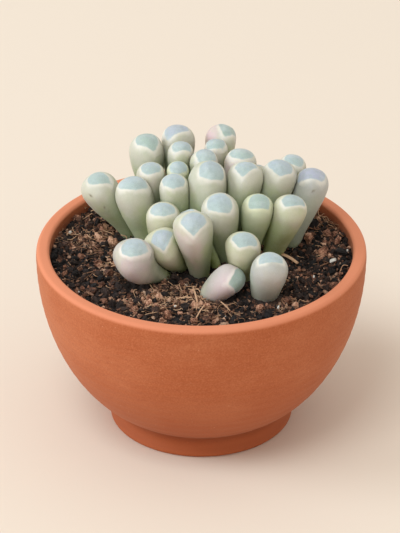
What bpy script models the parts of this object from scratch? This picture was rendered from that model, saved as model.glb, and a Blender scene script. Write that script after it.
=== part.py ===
"""Potted baby toes: club-shaped window leaves standing in gritty soil in a footed clay bowl.

Metres, +Z up. The origin is the middle of the foot, on the surface that the pot stands on.
The front of the plant faces -Y.
"""

from dataclasses import dataclass
from math import cos, pi, radians, sin

import bmesh
import bpy
import numpy as np
from mathutils import Vector, noise

MM = 0.001

# Pot
RIM_RADIUS = 50 * MM
POT_HEIGHT = 58 * MM
WALL = 4 * MM
LIP_OUTER_ROUND = 1.4 * MM
LIP_INNER_ROUND = 1.0 * MM
FOOT_TOP_RADIUS = 27.7 * MM
FOOT_BASE_RADIUS = 28.4 * MM
FOOT_HEIGHT = 6.4 * MM
FOOT_ROUND = 1.0 * MM
FOOT_RING_WIDTH = 5.5 * MM
FOOT_RECESS = 2.2 * MM
FLOOR_HEIGHT = 9.0 * MM
FLOOR_RADIUS = 20 * MM
DRAIN_RADIUS = 4 * MM
BELLY_PULL_OUT = 11.4 * MM
BELLY_PULL_UP = 6.0 * MM
RIM_PULL_DOWN = 25.6 * MM
INNER_PULL_OUT = 16 * MM
POT_SIDES = 48
OUTER_WALL_POINTS = 9
INNER_WALL_POINTS = 7
SEAM_MERGE = 0.01 * MM
TERRACOTTA = (0.53, 0.17, 0.07)

# Soil
FIT_GAP = 0.3 * MM
SOIL_LEVEL = 54 * MM
SOIL_GRID = 30
CRUMB_HEIGHT = 1.2 * MM
CRUMB_SEED = 5
CRUMB_FREE_BAND = 4 * MM
SWELL_SPACING = 26 * MM
SWELL_HEIGHT = 0.8 * MM
SOIL_EDGE_DROP = 3 * MM
BEND_CLEARANCE = 1 * MM
DARK_SOIL = (0.11, 0.06, 0.04)

# Leaves
FOOT_DEPTH = 5 * MM
FOOT_GIRTH = 0.43
FOOT_POINT = 0.45
CLUB_LENGTH = 2.3
CAP_HEIGHT = 1.2
WINDOW_DEPTH = 0.87
WINDOW_ROUNDNESS = 1.7
FACET_DEPTH = 0.80
FACET_SHARPNESS = 6
BACK_FLAT = 0.3
EDGE_SHARPNESS = 9
RISE_SHARE = 0.36
LEAN_SHARE = 0.10
LEAF_SIDES = 12
LEAF_RINGS = 9
STEM_RINGS = 4
STEM_SHARE = STEM_RINGS / LEAF_RINGS
STEM_RING_SPREAD = 1.2
CAP_RING_SPREAD = 0.9
KEEL_START = 0.35
KEEL_RISE = 1.5
HEADING_STEP = 0.01
SPINE_SAMPLES = 25
SQUEEZE_STEPS = 16
FOOT_TIP_SHARE = 0.0001
PALE_GREEN = (0.55, 0.62, 0.47)

# Each leaf in millimetres: where it stands in the soil, the middle of its head, and its width.
# Then, in degrees, the way its keel faces (0 is the front) and how far its window leans that way.
# Then how sharp its keel is. Some rows go on with how far the head nods, and with the length of
# its club and the height of its cap in head radii.
LEAF_PLAN = {
    "leaf_01": ((-14, 20), (-16.5, 25.3, 76.2), 10.4, 15, 18, 0.6, 0.2, CLUB_LENGTH, 1.35),
    "leaf_02": ((-8, 25), (-7.3, 30.5, 77.4), 10.2, -15, 12, 0.4),
    "leaf_03": ((-7.5, 18.5), (-6.3, 21.7, 77.5), 8.0, 0, 16, 0.3),
    "leaf_04": ((3.5, 25), (6.3, 31.6, 77.4), 9.4, 20, 16, 0.5),
    "leaf_05": ((5.5, 18), (4.5, 24.4, 77.5), 7.2, 0, 18, 0.3),
    "leaf_06": ((0.5, 12), (1, 16.9, 77), 8.6, 15, 18, 0.4),
    "leaf_07": ((9.5, 12.5), (11.9, 18.2, 75.9), 9.9, 0, 14, 0.2),
    "leaf_08": ((10, 6), (13.2, 7.9, 76.3), 10.7, -5, 20, 0.7),
    "leaf_09": ((17, 8), (23.4, 10.9, 75.3), 10.8, -5, 22, 0.5),
    "leaf_10": ((0.5, 4.5), (2, 6.7, 74.4), 11.9, 12, 24, 0.6, 0.2, CLUB_LENGTH, 1.65),
    "leaf_11": ((21, 14.5), (27.6, 19.4, 73.9), 8.6, 0, 15, 0.3),
    "leaf_12": ((26.5, 8), (33.3, 11.9, 72.4), 10.3, -15, 12, 0.2, 0.2, 3),
    "leaf_13": ((-12.5, 13), (-15.3, 14.5, 73.9), 8.7, 0, 14, 0.4),
    "leaf_14": ((-6, 12), (-7.1, 13.9, 75.7), 6.8, 0, 16, 0.2),
    "leaf_15": ((-7, 5), (-8.1, 5.9, 73.8), 9.2, -5, 15, 0.3, 0.2, 3.2, 1.35),
    "leaf_16": ((-20, 13.5), (-30.6, 12.7, 69.9), 11.1, 10, 15, 0.5),
    "leaf_17": ((-15.5, 7), (-20.2, 7.6, 70.6), 11.3, 10, 12, 0.2, 0.2, CLUB_LENGTH, 1.35),
    "leaf_18": ((-11.5, 0.5), (-11.4, -2.9, 68.8), 10.4, 0, 8, 0.2),
    "leaf_19": ((7, -1.5), (5.6, -4.5, 72.1), 11.3, 0, 20, 0.2),
    "leaf_20": ((14.5, 0.5), (16.9, -2.2, 71.5), 9.7, 0, 16, 0.2),
    "leaf_21": ((21, 2.5), (26.5, -2.1, 70.9), 10.3, 5, 12, 0.3, 0.2, 3),
    "leaf_22": ((-0.2, -9.5), (-2.5, -15.1, 71.7), 11.3, 0, 30, 1.0, 0.2, 2.5),
    "leaf_23": ((6, -8), (-2.8, -5.5, 69.6), 7.2, 0, 15, 0.3),
    "leaf_24": ((-6, -4), (-11.3, -11.7, 64.3), 10.8, 15, 28, 1.0),
    "leaf_25": ((-9.8, -9.5), (-20.2, -18.3, 63.9), 12.1, -10, 14, 0.5, -0.5, 1.5),
    "leaf_26": ((12.5, -11.5), (12.2, -18.1, 67.1), 10.4, -10, 14, 0.5),
    "leaf_27": ((1, -22), (8.1, -23.5, 59.6), 9.3, 0, 20, 0.5, 0.5, 2.5),
    "leaf_28": ((18.2, -23), (20.1, -25.7, 64), 11.1, 0, 10, 0.1, 0.2, 2.0),
    "leaf_29": ((14.5, 17), (16.9, 22.8, 69), 8.4, 180, 15, 0.3),
    "leaf_30": ((-14, 27), (-15.9, 34.3, 68.5), 9.0, 180, 15, 0.3),
    "leaf_31": ((-1, 19), (-1.5, 33.6, 64.7), 8.0, 180, 15, 0.3),
    "leaf_32": ((-21.5, 20), (-24.9, 21.4, 62.6), 7.0, 180, 15, 0.3),
    "leaf_33": ((-3.5, 0.5), (-4, 0, 66), 7.2, 0, 15, 0.3),
}


def bezier(start, pull_start, pull_end, end, share):
    """Points of a cubic curve at the given shares of its run."""
    t = np.atleast_1d(share)[:, None]
    corners = [np.asarray(point, float) for point in (start, pull_start, pull_end, end)]
    weights = ((1 - t) ** 3, 3 * (1 - t) ** 2 * t, 3 * (1 - t) * t * t, t ** 3)
    return sum(weight * corner for weight, corner in zip(weights, corners))


def material(name, colour, roughness):
    """A plain surface of one colour."""
    surface = bpy.data.materials.new(name)
    surface.use_nodes = True
    shader = surface.node_tree.nodes["Principled BSDF"]
    shader.inputs["Base Color"].default_value = (*colour, 1)
    shader.inputs["Roughness"].default_value = roughness
    shader.inputs["Metallic"].default_value = 0
    return surface


def mesh_object(name, bm, surface, collection):
    """A named object from finished geometry, in triangles, because its squares aren't flat."""
    bmesh.ops.triangulate(bm, faces=bm.faces)
    bm.normal_update()
    bmesh.ops.recalc_face_normals(bm, faces=bm.faces)
    mesh = bpy.data.meshes.new(name)
    bm.to_mesh(mesh)
    bm.free()
    if surface:
        mesh.materials.append(surface)
    mesh.shade_smooth()
    thing = bpy.data.objects.new(name, mesh)
    collection.objects.link(thing)
    return thing


def arc(middle, radius, start, end, steps):
    """Points of a round from one angle to another, in degrees."""
    turns = np.linspace(radians(start), radians(end), steps)
    return [(middle[0] + radius * cos(turn), middle[1] + radius * sin(turn)) for turn in turns]


def outer_wall(share):
    """The belly of the bowl, from the rim at 0 down to the foot at 1."""
    rim = (RIM_RADIUS, POT_HEIGHT - LIP_OUTER_ROUND)
    foot = (FOOT_TOP_RADIUS, FOOT_HEIGHT)
    return bezier(rim, (rim[0], rim[1] - RIM_PULL_DOWN),
                  (foot[0] + BELLY_PULL_OUT, foot[1] + BELLY_PULL_UP), foot, share)


def inner_wall(share):
    """The inside of the bowl, from the floor at 0 up to the rim at 1."""
    rim = (RIM_RADIUS - WALL, POT_HEIGHT - LIP_INNER_ROUND)
    floor = (FLOOR_RADIUS, FLOOR_HEIGHT)
    return bezier(floor, (floor[0] + INNER_PULL_OUT, floor[1]),
                  (rim[0], rim[1] - RIM_PULL_DOWN), rim, share)


def inner_radius(height):
    """The radius of the bowl's inside at a height."""
    wall = inner_wall(np.linspace(0, 1, INNER_WALL_POINTS))
    return float(np.interp(height, wall[:, 1], wall[:, 0]))


def pot_profile():
    """The pot's section: down the outside, across the underside, and up the inside."""
    lip_outer = (RIM_RADIUS - LIP_OUTER_ROUND, POT_HEIGHT - LIP_OUTER_ROUND)
    lip_inner = (RIM_RADIUS - WALL + LIP_INNER_ROUND, POT_HEIGHT - LIP_INNER_ROUND)
    ring_inside = FOOT_BASE_RADIUS - FOOT_RING_WIDTH
    points = arc(lip_outer, LIP_OUTER_ROUND, 90, 30, 3)
    points += [tuple(p) for p in outer_wall(np.linspace(0, 1, OUTER_WALL_POINTS))]
    points += arc((FOOT_BASE_RADIUS - FOOT_ROUND, FOOT_ROUND), FOOT_ROUND, 0, -90, 3)
    points += [(ring_inside, 0), (ring_inside - FOOT_ROUND, FOOT_RECESS)]
    points += [(DRAIN_RADIUS, FOOT_RECESS), (DRAIN_RADIUS, FLOOR_HEIGHT)]
    points += [tuple(p) for p in inner_wall(np.linspace(0, 1, INNER_WALL_POINTS))]
    points += arc(lip_inner, LIP_INNER_ROUND, 150, 90, 3)
    return points


def build_pot(collection):
    """The footed clay bowl, turned from its section."""
    bm = bmesh.new()
    corners = [bm.verts.new((radius, 0, height)) for radius, height in pot_profile()]
    for first, second in zip(corners, corners[1:] + corners[:1]):
        bm.edges.new((first, second))
    mesh = bpy.data.meshes.new("pot")
    bm.to_mesh(mesh)
    bm.free()
    mesh.materials.append(material("terracotta", TERRACOTTA, 0.8))
    pot = bpy.data.objects.new("pot", mesh)
    collection.objects.link(pot)
    turn = pot.modifiers.new("turn", "SCREW")
    turn.axis = "Z"
    turn.steps = POT_SIDES
    turn.render_steps = POT_SIDES
    turn.use_merge_vertices = True
    turn.merge_threshold = SEAM_MERGE
    turn.use_smooth_shade = True
    return pot


@dataclass
class Leaf:
    """One club-shaped leaf: a thin foot in the soil, a fat head and a flattened window on top."""

    name: str
    stand: tuple
    head: tuple
    width: float
    turn: float
    tilt: float
    keel: float
    nod: float = 0.2
    club: float = CLUB_LENGTH
    cap: float = CAP_HEIGHT

    def __post_init__(self):
        self.radius = self.width * MM / 2
        self.base = np.array([self.stand[0] * MM, self.stand[1] * MM, SOIL_LEVEL - FOOT_DEPTH])
        self.middle = np.array(self.head, float) * MM
        chord = self.middle - self.base
        level = chord * (1, 1, 0)
        axis = chord + self.nod * level
        self.axis = axis / np.linalg.norm(axis)
        pull = RISE_SHARE * np.linalg.norm(chord)
        self.curve = (self.base, self.base + LEAN_SHARE * level + (0, 0, pull),
                      self.middle - pull * self.axis, self.middle)
        self.front = np.array([sin(radians(self.turn)), -cos(radians(self.turn)), 0])
        samples = bezier(*self.curve, np.linspace(0, 1, SPINE_SAMPLES))
        steps = np.linalg.norm(np.diff(samples, axis=0), axis=1)
        self.run = np.concatenate([[0], np.cumsum(steps)])
        self.spine = samples
        self.spine_girth = self.girth(np.linspace(0, 1, SPINE_SAMPLES))

    def girth(self, share):
        """The leaf's radius along its spine: a thin foot that swells into the head."""
        along = np.interp(share, np.linspace(0, 1, SPINE_SAMPLES), self.run)
        below_head = (self.run[-1] - along) / self.radius
        club = FOOT_GIRTH + (1 - FOOT_GIRTH) * np.exp(-(below_head / self.club) ** 2)
        point = FOOT_POINT + (1 - FOOT_POINT) * np.clip(along / FOOT_DEPTH, 0, 1)
        return self.radius * club * point

    def heading(self, share):
        """The direction of the spine at a share of its run."""
        ends = [max(share - HEADING_STEP, 0), min(share + HEADING_STEP, 1)]
        nearby = bezier(*self.curve, ends)
        step = nearby[1] - nearby[0]
        return step / np.linalg.norm(step)

    def section(self, angle, keel):
        """A circle with three soft flats, the back one softer, so that one edge faces the keel.

        It is 1 across the leaf, whatever the keel.
        """
        def blunt(turn):
            flats = ((pi / 3, 1.0), (-pi / 3, 1.0), (pi, BACK_FLAT))
            total = 1 + keel * sum(
                share * (max(cos(turn - flat), 0) / FACET_DEPTH) ** FACET_SHARPNESS
                for flat, share in flats)
            return total ** (-1 / FACET_SHARPNESS)

        return blunt(angle) / blunt(pi / 2)

    def head_reach(self, angle, climb):
        """The distance from the head's middle to the skin, with the window flattened."""
        side = self.radius * self.section(angle, self.keel)
        top = self.radius * self.cap
        body = 1 / np.hypot(cos(climb) / side, sin(climb) / top)
        tilt = radians(self.tilt)
        facing = sin(tilt) * cos(climb) * cos(angle) + cos(tilt) * sin(climb)
        bow = WINDOW_ROUNDNESS * self.radius
        offset = bow - WINDOW_DEPTH * top
        window = -offset * facing + np.sqrt((offset * facing) ** 2 + bow ** 2 - offset ** 2)
        return (body ** -EDGE_SHARPNESS + window ** -EDGE_SHARPNESS) ** (-1 / EDGE_SHARPNESS)

    def skin(self, angle, share):
        """A point of the skin, and the point of the spine that it stands over.

        The angle goes round from the keel. The share climbs from the foot at 0, past the
        head's middle at STEM_SHARE, to the top of the window at 1.
        """
        along = min(share / STEM_SHARE, 1) ** STEM_RING_SPREAD
        axis = self.heading(along)
        front = self.front - axis * self.front.dot(axis)
        front /= np.linalg.norm(front)
        side = np.cross(axis, front)
        if share <= STEM_SHARE:
            centre = bezier(*self.curve, along)[0]
            rise = max((along - KEEL_START) / (1 - KEEL_START), 0)
            keel = self.keel * rise ** KEEL_RISE
            reach = self.girth(along) * self.section(angle, keel)
            return centre, reach * (sin(angle) * side + cos(angle) * front)
        climb = pi / 2 * ((share - STEM_SHARE) / (1 - STEM_SHARE)) ** CAP_RING_SPREAD
        out = cos(climb) * (sin(angle) * side + cos(angle) * front) + sin(climb) * axis
        return self.middle, self.head_reach(angle, climb) * out

    def depth(self, points):
        """How far points lie outside this leaf's round body, negative inside it."""
        apart = np.linalg.norm(points[:, None] - self.spine[None], axis=2)
        return (apart - self.spine_girth).min(axis=1)


def squeeze(leaf, centres, reaches, others):
    """Shorten the reaches where two leaves press together, so that each stops at the middle."""
    low = np.zeros(len(centres))
    high = np.ones(len(centres))

    def clear(share):
        points = centres + share[:, None] * reaches
        own = leaf.depth(points)
        return np.min([other.depth(points) - own for other in others], axis=0) >= FIT_GAP

    free = clear(high)
    for _ in range(SQUEEZE_STEPS):
        trial = (low + high) / 2
        good = clear(trial)
        low = np.where(good, trial, low)
        high = np.where(good, high, trial)
    return np.where(free, 1.0, low)


def leaf_body(leaf, leaves, grow=0.0):
    """The leaf's closed skin, made by carrying each point of a ball to its place."""
    bm = bmesh.new()
    bmesh.ops.create_uvsphere(bm, u_segments=LEAF_SIDES, v_segments=LEAF_RINGS, radius=1)
    centres = []
    reaches = []
    for vertex in bm.verts:
        angle = np.arctan2(vertex.co.x, -vertex.co.y)
        share = np.arccos(np.clip(-vertex.co.z, -1, 1)) / pi
        if share < FOOT_TIP_SHARE:
            centres.append(leaf.base)
            reaches.append(np.array([0, 0, -grow]))
            continue
        centre, reach = leaf.skin(angle, share)
        centres.append(centre)
        reaches.append(reach + grow * reach / np.linalg.norm(reach))
    centres = np.array(centres)
    reaches = np.array(reaches)
    if not grow:
        near = [other for other in leaves if other is not leaf and crowded(leaf, other)]
        if near:
            reaches = reaches * squeeze(leaf, centres, reaches, near)[:, None]
    for vertex, place in zip(bm.verts, centres + reaches):
        vertex.co = Vector(place)
    return bm


def crowded(leaf, other):
    """Whether two leaves come close enough to press on each other."""
    apart = np.linalg.norm(leaf.spine[:, None] - other.spine[None], axis=2)
    return (apart - leaf.spine_girth[:, None] - other.spine_girth[None]).min() < 2 * FIT_GAP


def soil_height(x, y, crumb, leaves):
    """The soil's surface: a gentle swell, and large crumbs that flatten out beside the leaves."""
    swell = noise.noise(Vector((x, y, 0)) / SWELL_SPACING)
    point = np.array([[x, y, SOIL_LEVEL]])
    to_leaf = min(leaf.depth(point)[0] for leaf in leaves)
    free = min(max(to_leaf / CRUMB_FREE_BAND, 0), 1)
    return SOIL_LEVEL + SWELL_HEIGHT * swell + free * CRUMB_HEIGHT * crumb


def on_disc(x, y):
    """Carry a point of a square of half-size 1 to a disc of radius 1."""
    if x == 0 and y == 0:
        return 0.0, 0.0
    if abs(x) > abs(y):
        turn = pi / 4 * y / x
        return x * cos(turn), x * sin(turn)
    turn = pi / 4 * x / y
    return y * sin(turn), y * cos(turn)


def build_soil(collection, cutters, leaves):
    """The soil that fills the bowl, with a plain hole for each leaf."""
    bm = bmesh.new()
    bmesh.ops.create_grid(bm, x_segments=SOIL_GRID, y_segments=SOIL_GRID, size=1)
    wall_gap = RIM_RADIUS * (1 - cos(pi / POT_SIDES)) + FIT_GAP
    top_radius = inner_radius(SOIL_LEVEL - SOIL_EDGE_DROP) - wall_gap
    crumbs = np.random.default_rng(CRUMB_SEED).uniform(-1, 1, len(bm.verts))
    for vertex, crumb in zip(bm.verts, crumbs):
        x, y = on_disc(vertex.co.x, vertex.co.y)
        x *= top_radius
        y *= top_radius
        vertex.co = (x, y, soil_height(x, y, crumb, leaves))
    edge = [e for e in bm.edges if e.is_boundary]
    shoulder = SOIL_LEVEL - SOIL_EDGE_DROP
    wall_heights = inner_wall(np.linspace(0, 1, INNER_WALL_POINTS))[::-1, 1]
    lowest = FLOOR_HEIGHT + BEND_CLEARANCE
    bends = [height for height in wall_heights if lowest < height < shoulder - BEND_CLEARANCE]
    for height in [shoulder, *bends, FLOOR_HEIGHT + FIT_GAP]:
        grown = bmesh.ops.extrude_edge_only(bm, edges=edge)["geom"]
        radius = inner_radius(height) - wall_gap
        for vertex in [g for g in grown if isinstance(g, bmesh.types.BMVert)]:
            flat = Vector((vertex.co.x, vertex.co.y, 0)).normalized() * radius
            vertex.co = (flat.x, flat.y, height)
        edge = [g for g in grown if isinstance(g, bmesh.types.BMEdge)]
    bmesh.ops.contextual_create(bm, geom=edge)
    soil = mesh_object("soil", bm, material("potting soil", DARK_SOIL, 0.95), collection)
    soil.data.shade_flat()
    holes = soil.modifiers.new("leaf holes", "BOOLEAN")
    holes.operation = "DIFFERENCE"
    holes.operand_type = "COLLECTION"
    holes.collection = cutters
    return soil


def build_leaves(collection, cutters, leaves):
    """All the leaves, and for each a slightly larger copy that cuts its hole in the soil."""
    green = material("leaf skin", PALE_GREEN, 0.45)
    for leaf in leaves:
        mesh_object(leaf.name, leaf_body(leaf, leaves), green, collection)
        cutter = mesh_object("hole_" + leaf.name, leaf_body(leaf, leaves, FIT_GAP), None, cutters)
        cutter.hide_render = True
        cutter.display_type = "WIRE"


def main():
    for thing in list(bpy.data.objects):
        bpy.data.objects.remove(thing)
    plant = bpy.data.collections.new("potted baby toes")
    cutters = bpy.data.collections.new("cutters")
    bpy.context.scene.collection.children.link(plant)
    bpy.context.scene.collection.children.link(cutters)
    leaves = [Leaf(name, *row) for name, row in LEAF_PLAN.items()]
    build_leaves(plant, cutters, leaves)
    build_pot(plant)
    build_soil(plant, cutters, leaves)


main()
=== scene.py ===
"""Potted baby toes: waxy window leaves in crumbly soil, in a footed terracotta bowl.

Everything is in metres, in the frame of the CAD model: +Z up, the front of the plant towards -Y,
and the origin under the middle of the pot's foot.
"""

from __future__ import annotations

import logging
from dataclasses import dataclass
from enum import Enum
from math import cos, pi, radians, sin, sqrt, tau
from typing import Any, Sequence

import bmesh
import bpy
import numpy as np
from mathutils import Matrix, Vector, noise

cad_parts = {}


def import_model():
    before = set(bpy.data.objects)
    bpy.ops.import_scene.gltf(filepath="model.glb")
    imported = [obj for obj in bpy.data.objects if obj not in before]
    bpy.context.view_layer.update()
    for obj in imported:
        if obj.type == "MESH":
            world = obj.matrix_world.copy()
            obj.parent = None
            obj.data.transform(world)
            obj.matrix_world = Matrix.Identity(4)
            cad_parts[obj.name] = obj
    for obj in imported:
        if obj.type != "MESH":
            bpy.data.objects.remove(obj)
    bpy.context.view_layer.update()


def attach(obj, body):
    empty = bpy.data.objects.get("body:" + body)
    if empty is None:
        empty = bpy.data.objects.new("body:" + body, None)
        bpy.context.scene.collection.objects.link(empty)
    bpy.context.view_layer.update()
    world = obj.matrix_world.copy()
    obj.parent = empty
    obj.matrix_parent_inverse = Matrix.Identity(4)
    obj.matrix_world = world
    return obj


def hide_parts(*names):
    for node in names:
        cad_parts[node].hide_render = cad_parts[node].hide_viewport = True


LOG = logging.getLogger("baby_toes")
MM = 0.001
BODY = "root"
MERGE_DISTANCE = 0.01 * MM

Pair = tuple[float, float]
Triple = tuple[float, float, float]
Colour = Triple


# Nodes


class Wire:
    """An output socket that Python's operators can work on."""

    def __init__(self, nodes: Nodes, socket: bpy.types.NodeSocket) -> None:
        """Keep the socket and the tree that it belongs to."""
        self.nodes = nodes
        self.socket = socket

    def maths(self, operation: str, *others: Any) -> Wire:
        """Add a Math node.

        Args:
            operation: The Math node's operation.
            others: The other operands, wires or numbers.

        Returns:
            The result.
        """
        sockets = dict(enumerate((self, *others)))
        return self.nodes.add("ShaderNodeMath", {"operation": operation}, sockets)

    def __add__(self, other: Any) -> Wire:
        """Sum."""
        return self.maths("ADD", other)

    def __sub__(self, other: Any) -> Wire:
        """Difference."""
        return self.maths("SUBTRACT", other)

    def __mul__(self, other: Any) -> Wire:
        """Product."""
        return self.maths("MULTIPLY", other)

    def __truediv__(self, other: Any) -> Wire:
        """Quotient."""
        return self.maths("DIVIDE", other)

    def __pow__(self, other: Any) -> Wire:
        """Power."""
        return self.maths("POWER", other)

    def above(self, limit: Any) -> Wire:
        """1 where this is over the limit, and 0 elsewhere."""
        return self.maths("GREATER_THAN", limit)

    def ramp(self, low: float, high: float) -> Wire:
        """Climb smoothly from 0 at low to 1 at high.

        Args:
            low: The value that gives 0. It may be the larger one.
            high: The value that gives 1.

        Returns:
            The climb.
        """
        ends = (low, high, 0.0, 1.0) if low < high else (high, low, 1.0, 0.0)
        settings = {"interpolation_type": "SMOOTHSTEP"}
        sockets = dict(enumerate((self, *ends)))
        return self.nodes.add("ShaderNodeMapRange", settings, sockets)


class Nodes:
    """One node tree, shader or geometry, and the only way that nodes get into it."""

    def __init__(self, tree: bpy.types.NodeTree) -> None:
        """Keep the tree."""
        self.tree = tree

    def make(self, kind: str, settings: dict[str, Any] | None = None,
             sockets: dict[Any, Any] | None = None) -> bpy.types.Node:
        """Add a node.

        Args:
            kind: The node's type.
            settings: Its properties, set first.
            sockets: Values or wires for its inputs, by name or number.

        Returns:
            The node.
        """
        node = self.tree.nodes.new(kind)
        for name, value in (settings or {}).items():
            if name == "stops":
                self.set_stops(node, value)
            else:
                setattr(node, name, value)
        for key, value in (sockets or {}).items():
            target = node.inputs[key]
            if isinstance(value, Wire):
                self.tree.links.new(value.socket, target)
            else:
                target.default_value = value
        return node

    def add(self, kind: str, settings: dict[str, Any] | None = None,
            sockets: dict[Any, Any] | None = None, output: int | str = 0) -> Wire:
        """Add a node and take one of its outputs.

        Args:
            kind: The node's type.
            settings: Its properties, set first.
            sockets: Values or wires for its inputs, by name or number.
            output: The output's name or number.

        Returns:
            The output.
        """
        node = self.make(kind, settings, sockets)
        return Wire(self, node.outputs[output])

    @staticmethod
    def set_stops(node: bpy.types.Node, stops: Sequence[tuple[float, Colour]]) -> None:
        """Give a Color Ramp its stops.

        Args:
            node: The Color Ramp.
            stops: Each stop's place from 0 to 1, and its colour.
        """
        elements = node.color_ramp.elements
        while len(elements) < len(stops):
            elements.new(0.5)
        for element, (place, colour) in zip(elements, stops):
            element.position = place
            element.color = (*colour, 1.0)

    def vectors(self, operation: str, sockets: dict[Any, Any]) -> Wire:
        """Add a Vector Math node.

        Args:
            operation: The node's operation.
            sockets: Values or wires for its inputs.

        Returns:
            The resulting vector.
        """
        return self.add("ShaderNodeVectorMath", {"operation": operation}, sockets)

    def height_of(self, vector: Wire) -> Wire:
        """The Z of a vector."""
        return self.add("ShaderNodeSeparateXYZ", None, {0: vector}, "Z")

    def mix(self, share: Any, low: Any, high: Any) -> Wire:
        """Mix two colours.

        Args:
            share: How much of the second there is.
            low: The first colour or wire.
            high: The second colour or wire.

        Returns:
            The mixed colour.
        """
        settings = {"data_type": "RGBA", "clamp_factor": True}
        ends = [(*end, 1.0) if isinstance(end, tuple) else end for end in (low, high)]
        return self.add("ShaderNodeMix", settings, {0: share, 6: ends[0], 7: ends[1]}, 2)


@dataclass(frozen=True)
class Cloud:
    """A cloudy pattern: a cloud's size in metres, how many finer layers it has and how strong.

    Stretch is how many times longer a cloud is along each axis.
    """

    size: float
    layers: float = 3.0
    strength: float = 0.5
    stretch: Triple = (1.0, 1.0, 1.0)


class Paint(Nodes):
    """The node tree of one material, with a Principled BSDF at its end."""

    def __init__(self, name: str) -> None:
        """Start a material that has only its shader.

        Args:
            name: The material's name.
        """
        self.material = bpy.data.materials.new(name)
        self.material.use_nodes = True
        super().__init__(self.material.node_tree)
        self.shader = self.tree.nodes["Principled BSDF"]

    def place(self) -> Wire:
        """Object coordinates."""
        return self.add("ShaderNodeTexCoord", output="Object")

    def value_of(self, attribute: str) -> Wire:
        """A number that the mesh holds at each point."""
        return self.add("ShaderNodeAttribute", {"attribute_name": attribute}, output="Fac")

    def noise(self, cloud: Cloud) -> Wire:
        """Add cloudy noise.

        Args:
            cloud: Its size and character.

        Returns:
            The noise, about 0.5 on average.
        """
        scale = tuple(1.0 / (cloud.size * longer) for longer in cloud.stretch)
        place = self.add("ShaderNodeMapping", {"vector_type": "POINT"},
                         {"Vector": self.place(), "Scale": scale})
        sockets = {"Vector": place, "Scale": 1.0, "Detail": cloud.layers,
                   "Roughness": cloud.strength}
        return self.add("ShaderNodeTexNoise", None, sockets, "Fac")

    def cells(self, size: float) -> Wire:
        """How far each place is from the middle of its Voronoi cell.

        Args:
            size: The size of a cell, in metres.

        Returns:
            The distance, in cells.
        """
        sockets = {"Vector": self.place(), "Scale": 1.0 / size}
        return self.add("ShaderNodeTexVoronoi", None, sockets, "Distance")

    def coats(self, ground: Any, *coats: tuple[Any, float, Any]) -> Wire:
        """Lay thin coats of colour over a ground, one after the other.

        Args:
            ground: The colour or wire at the bottom.
            coats: For each coat, where it lies from 0 to 1, its strength and its colour.

        Returns:
            The colour on top.
        """
        for where, strength, colour in coats:
            ground = self.mix(where * strength, ground, colour)
        return ground

    def feed(self, name: str, value: Any) -> None:
        """Give one of the shader's sockets its value or its wire.

        Args:
            name: The socket's name.
            value: A number, a colour or a wire.
        """
        target = self.shader.inputs[name]
        if isinstance(value, Wire):
            self.tree.links.new(value.socket, target)
        elif isinstance(value, tuple) and len(value) == 3 and target.type == "RGBA":
            target.default_value = (*value, 1.0)
        else:
            target.default_value = value

    def bump(self, height: Wire, depth: float, strength: float = 1.0) -> None:
        """Give the surface its fine relief.

        Args:
            height: The relief, from 0 to 1.
            depth: Its depth in metres.
            strength: How strongly it shows.
        """
        sockets = {"Height": height, "Distance": depth, "Strength": strength}
        self.feed("Normal", self.add("ShaderNodeBump", None, sockets, "Normal"))


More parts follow.
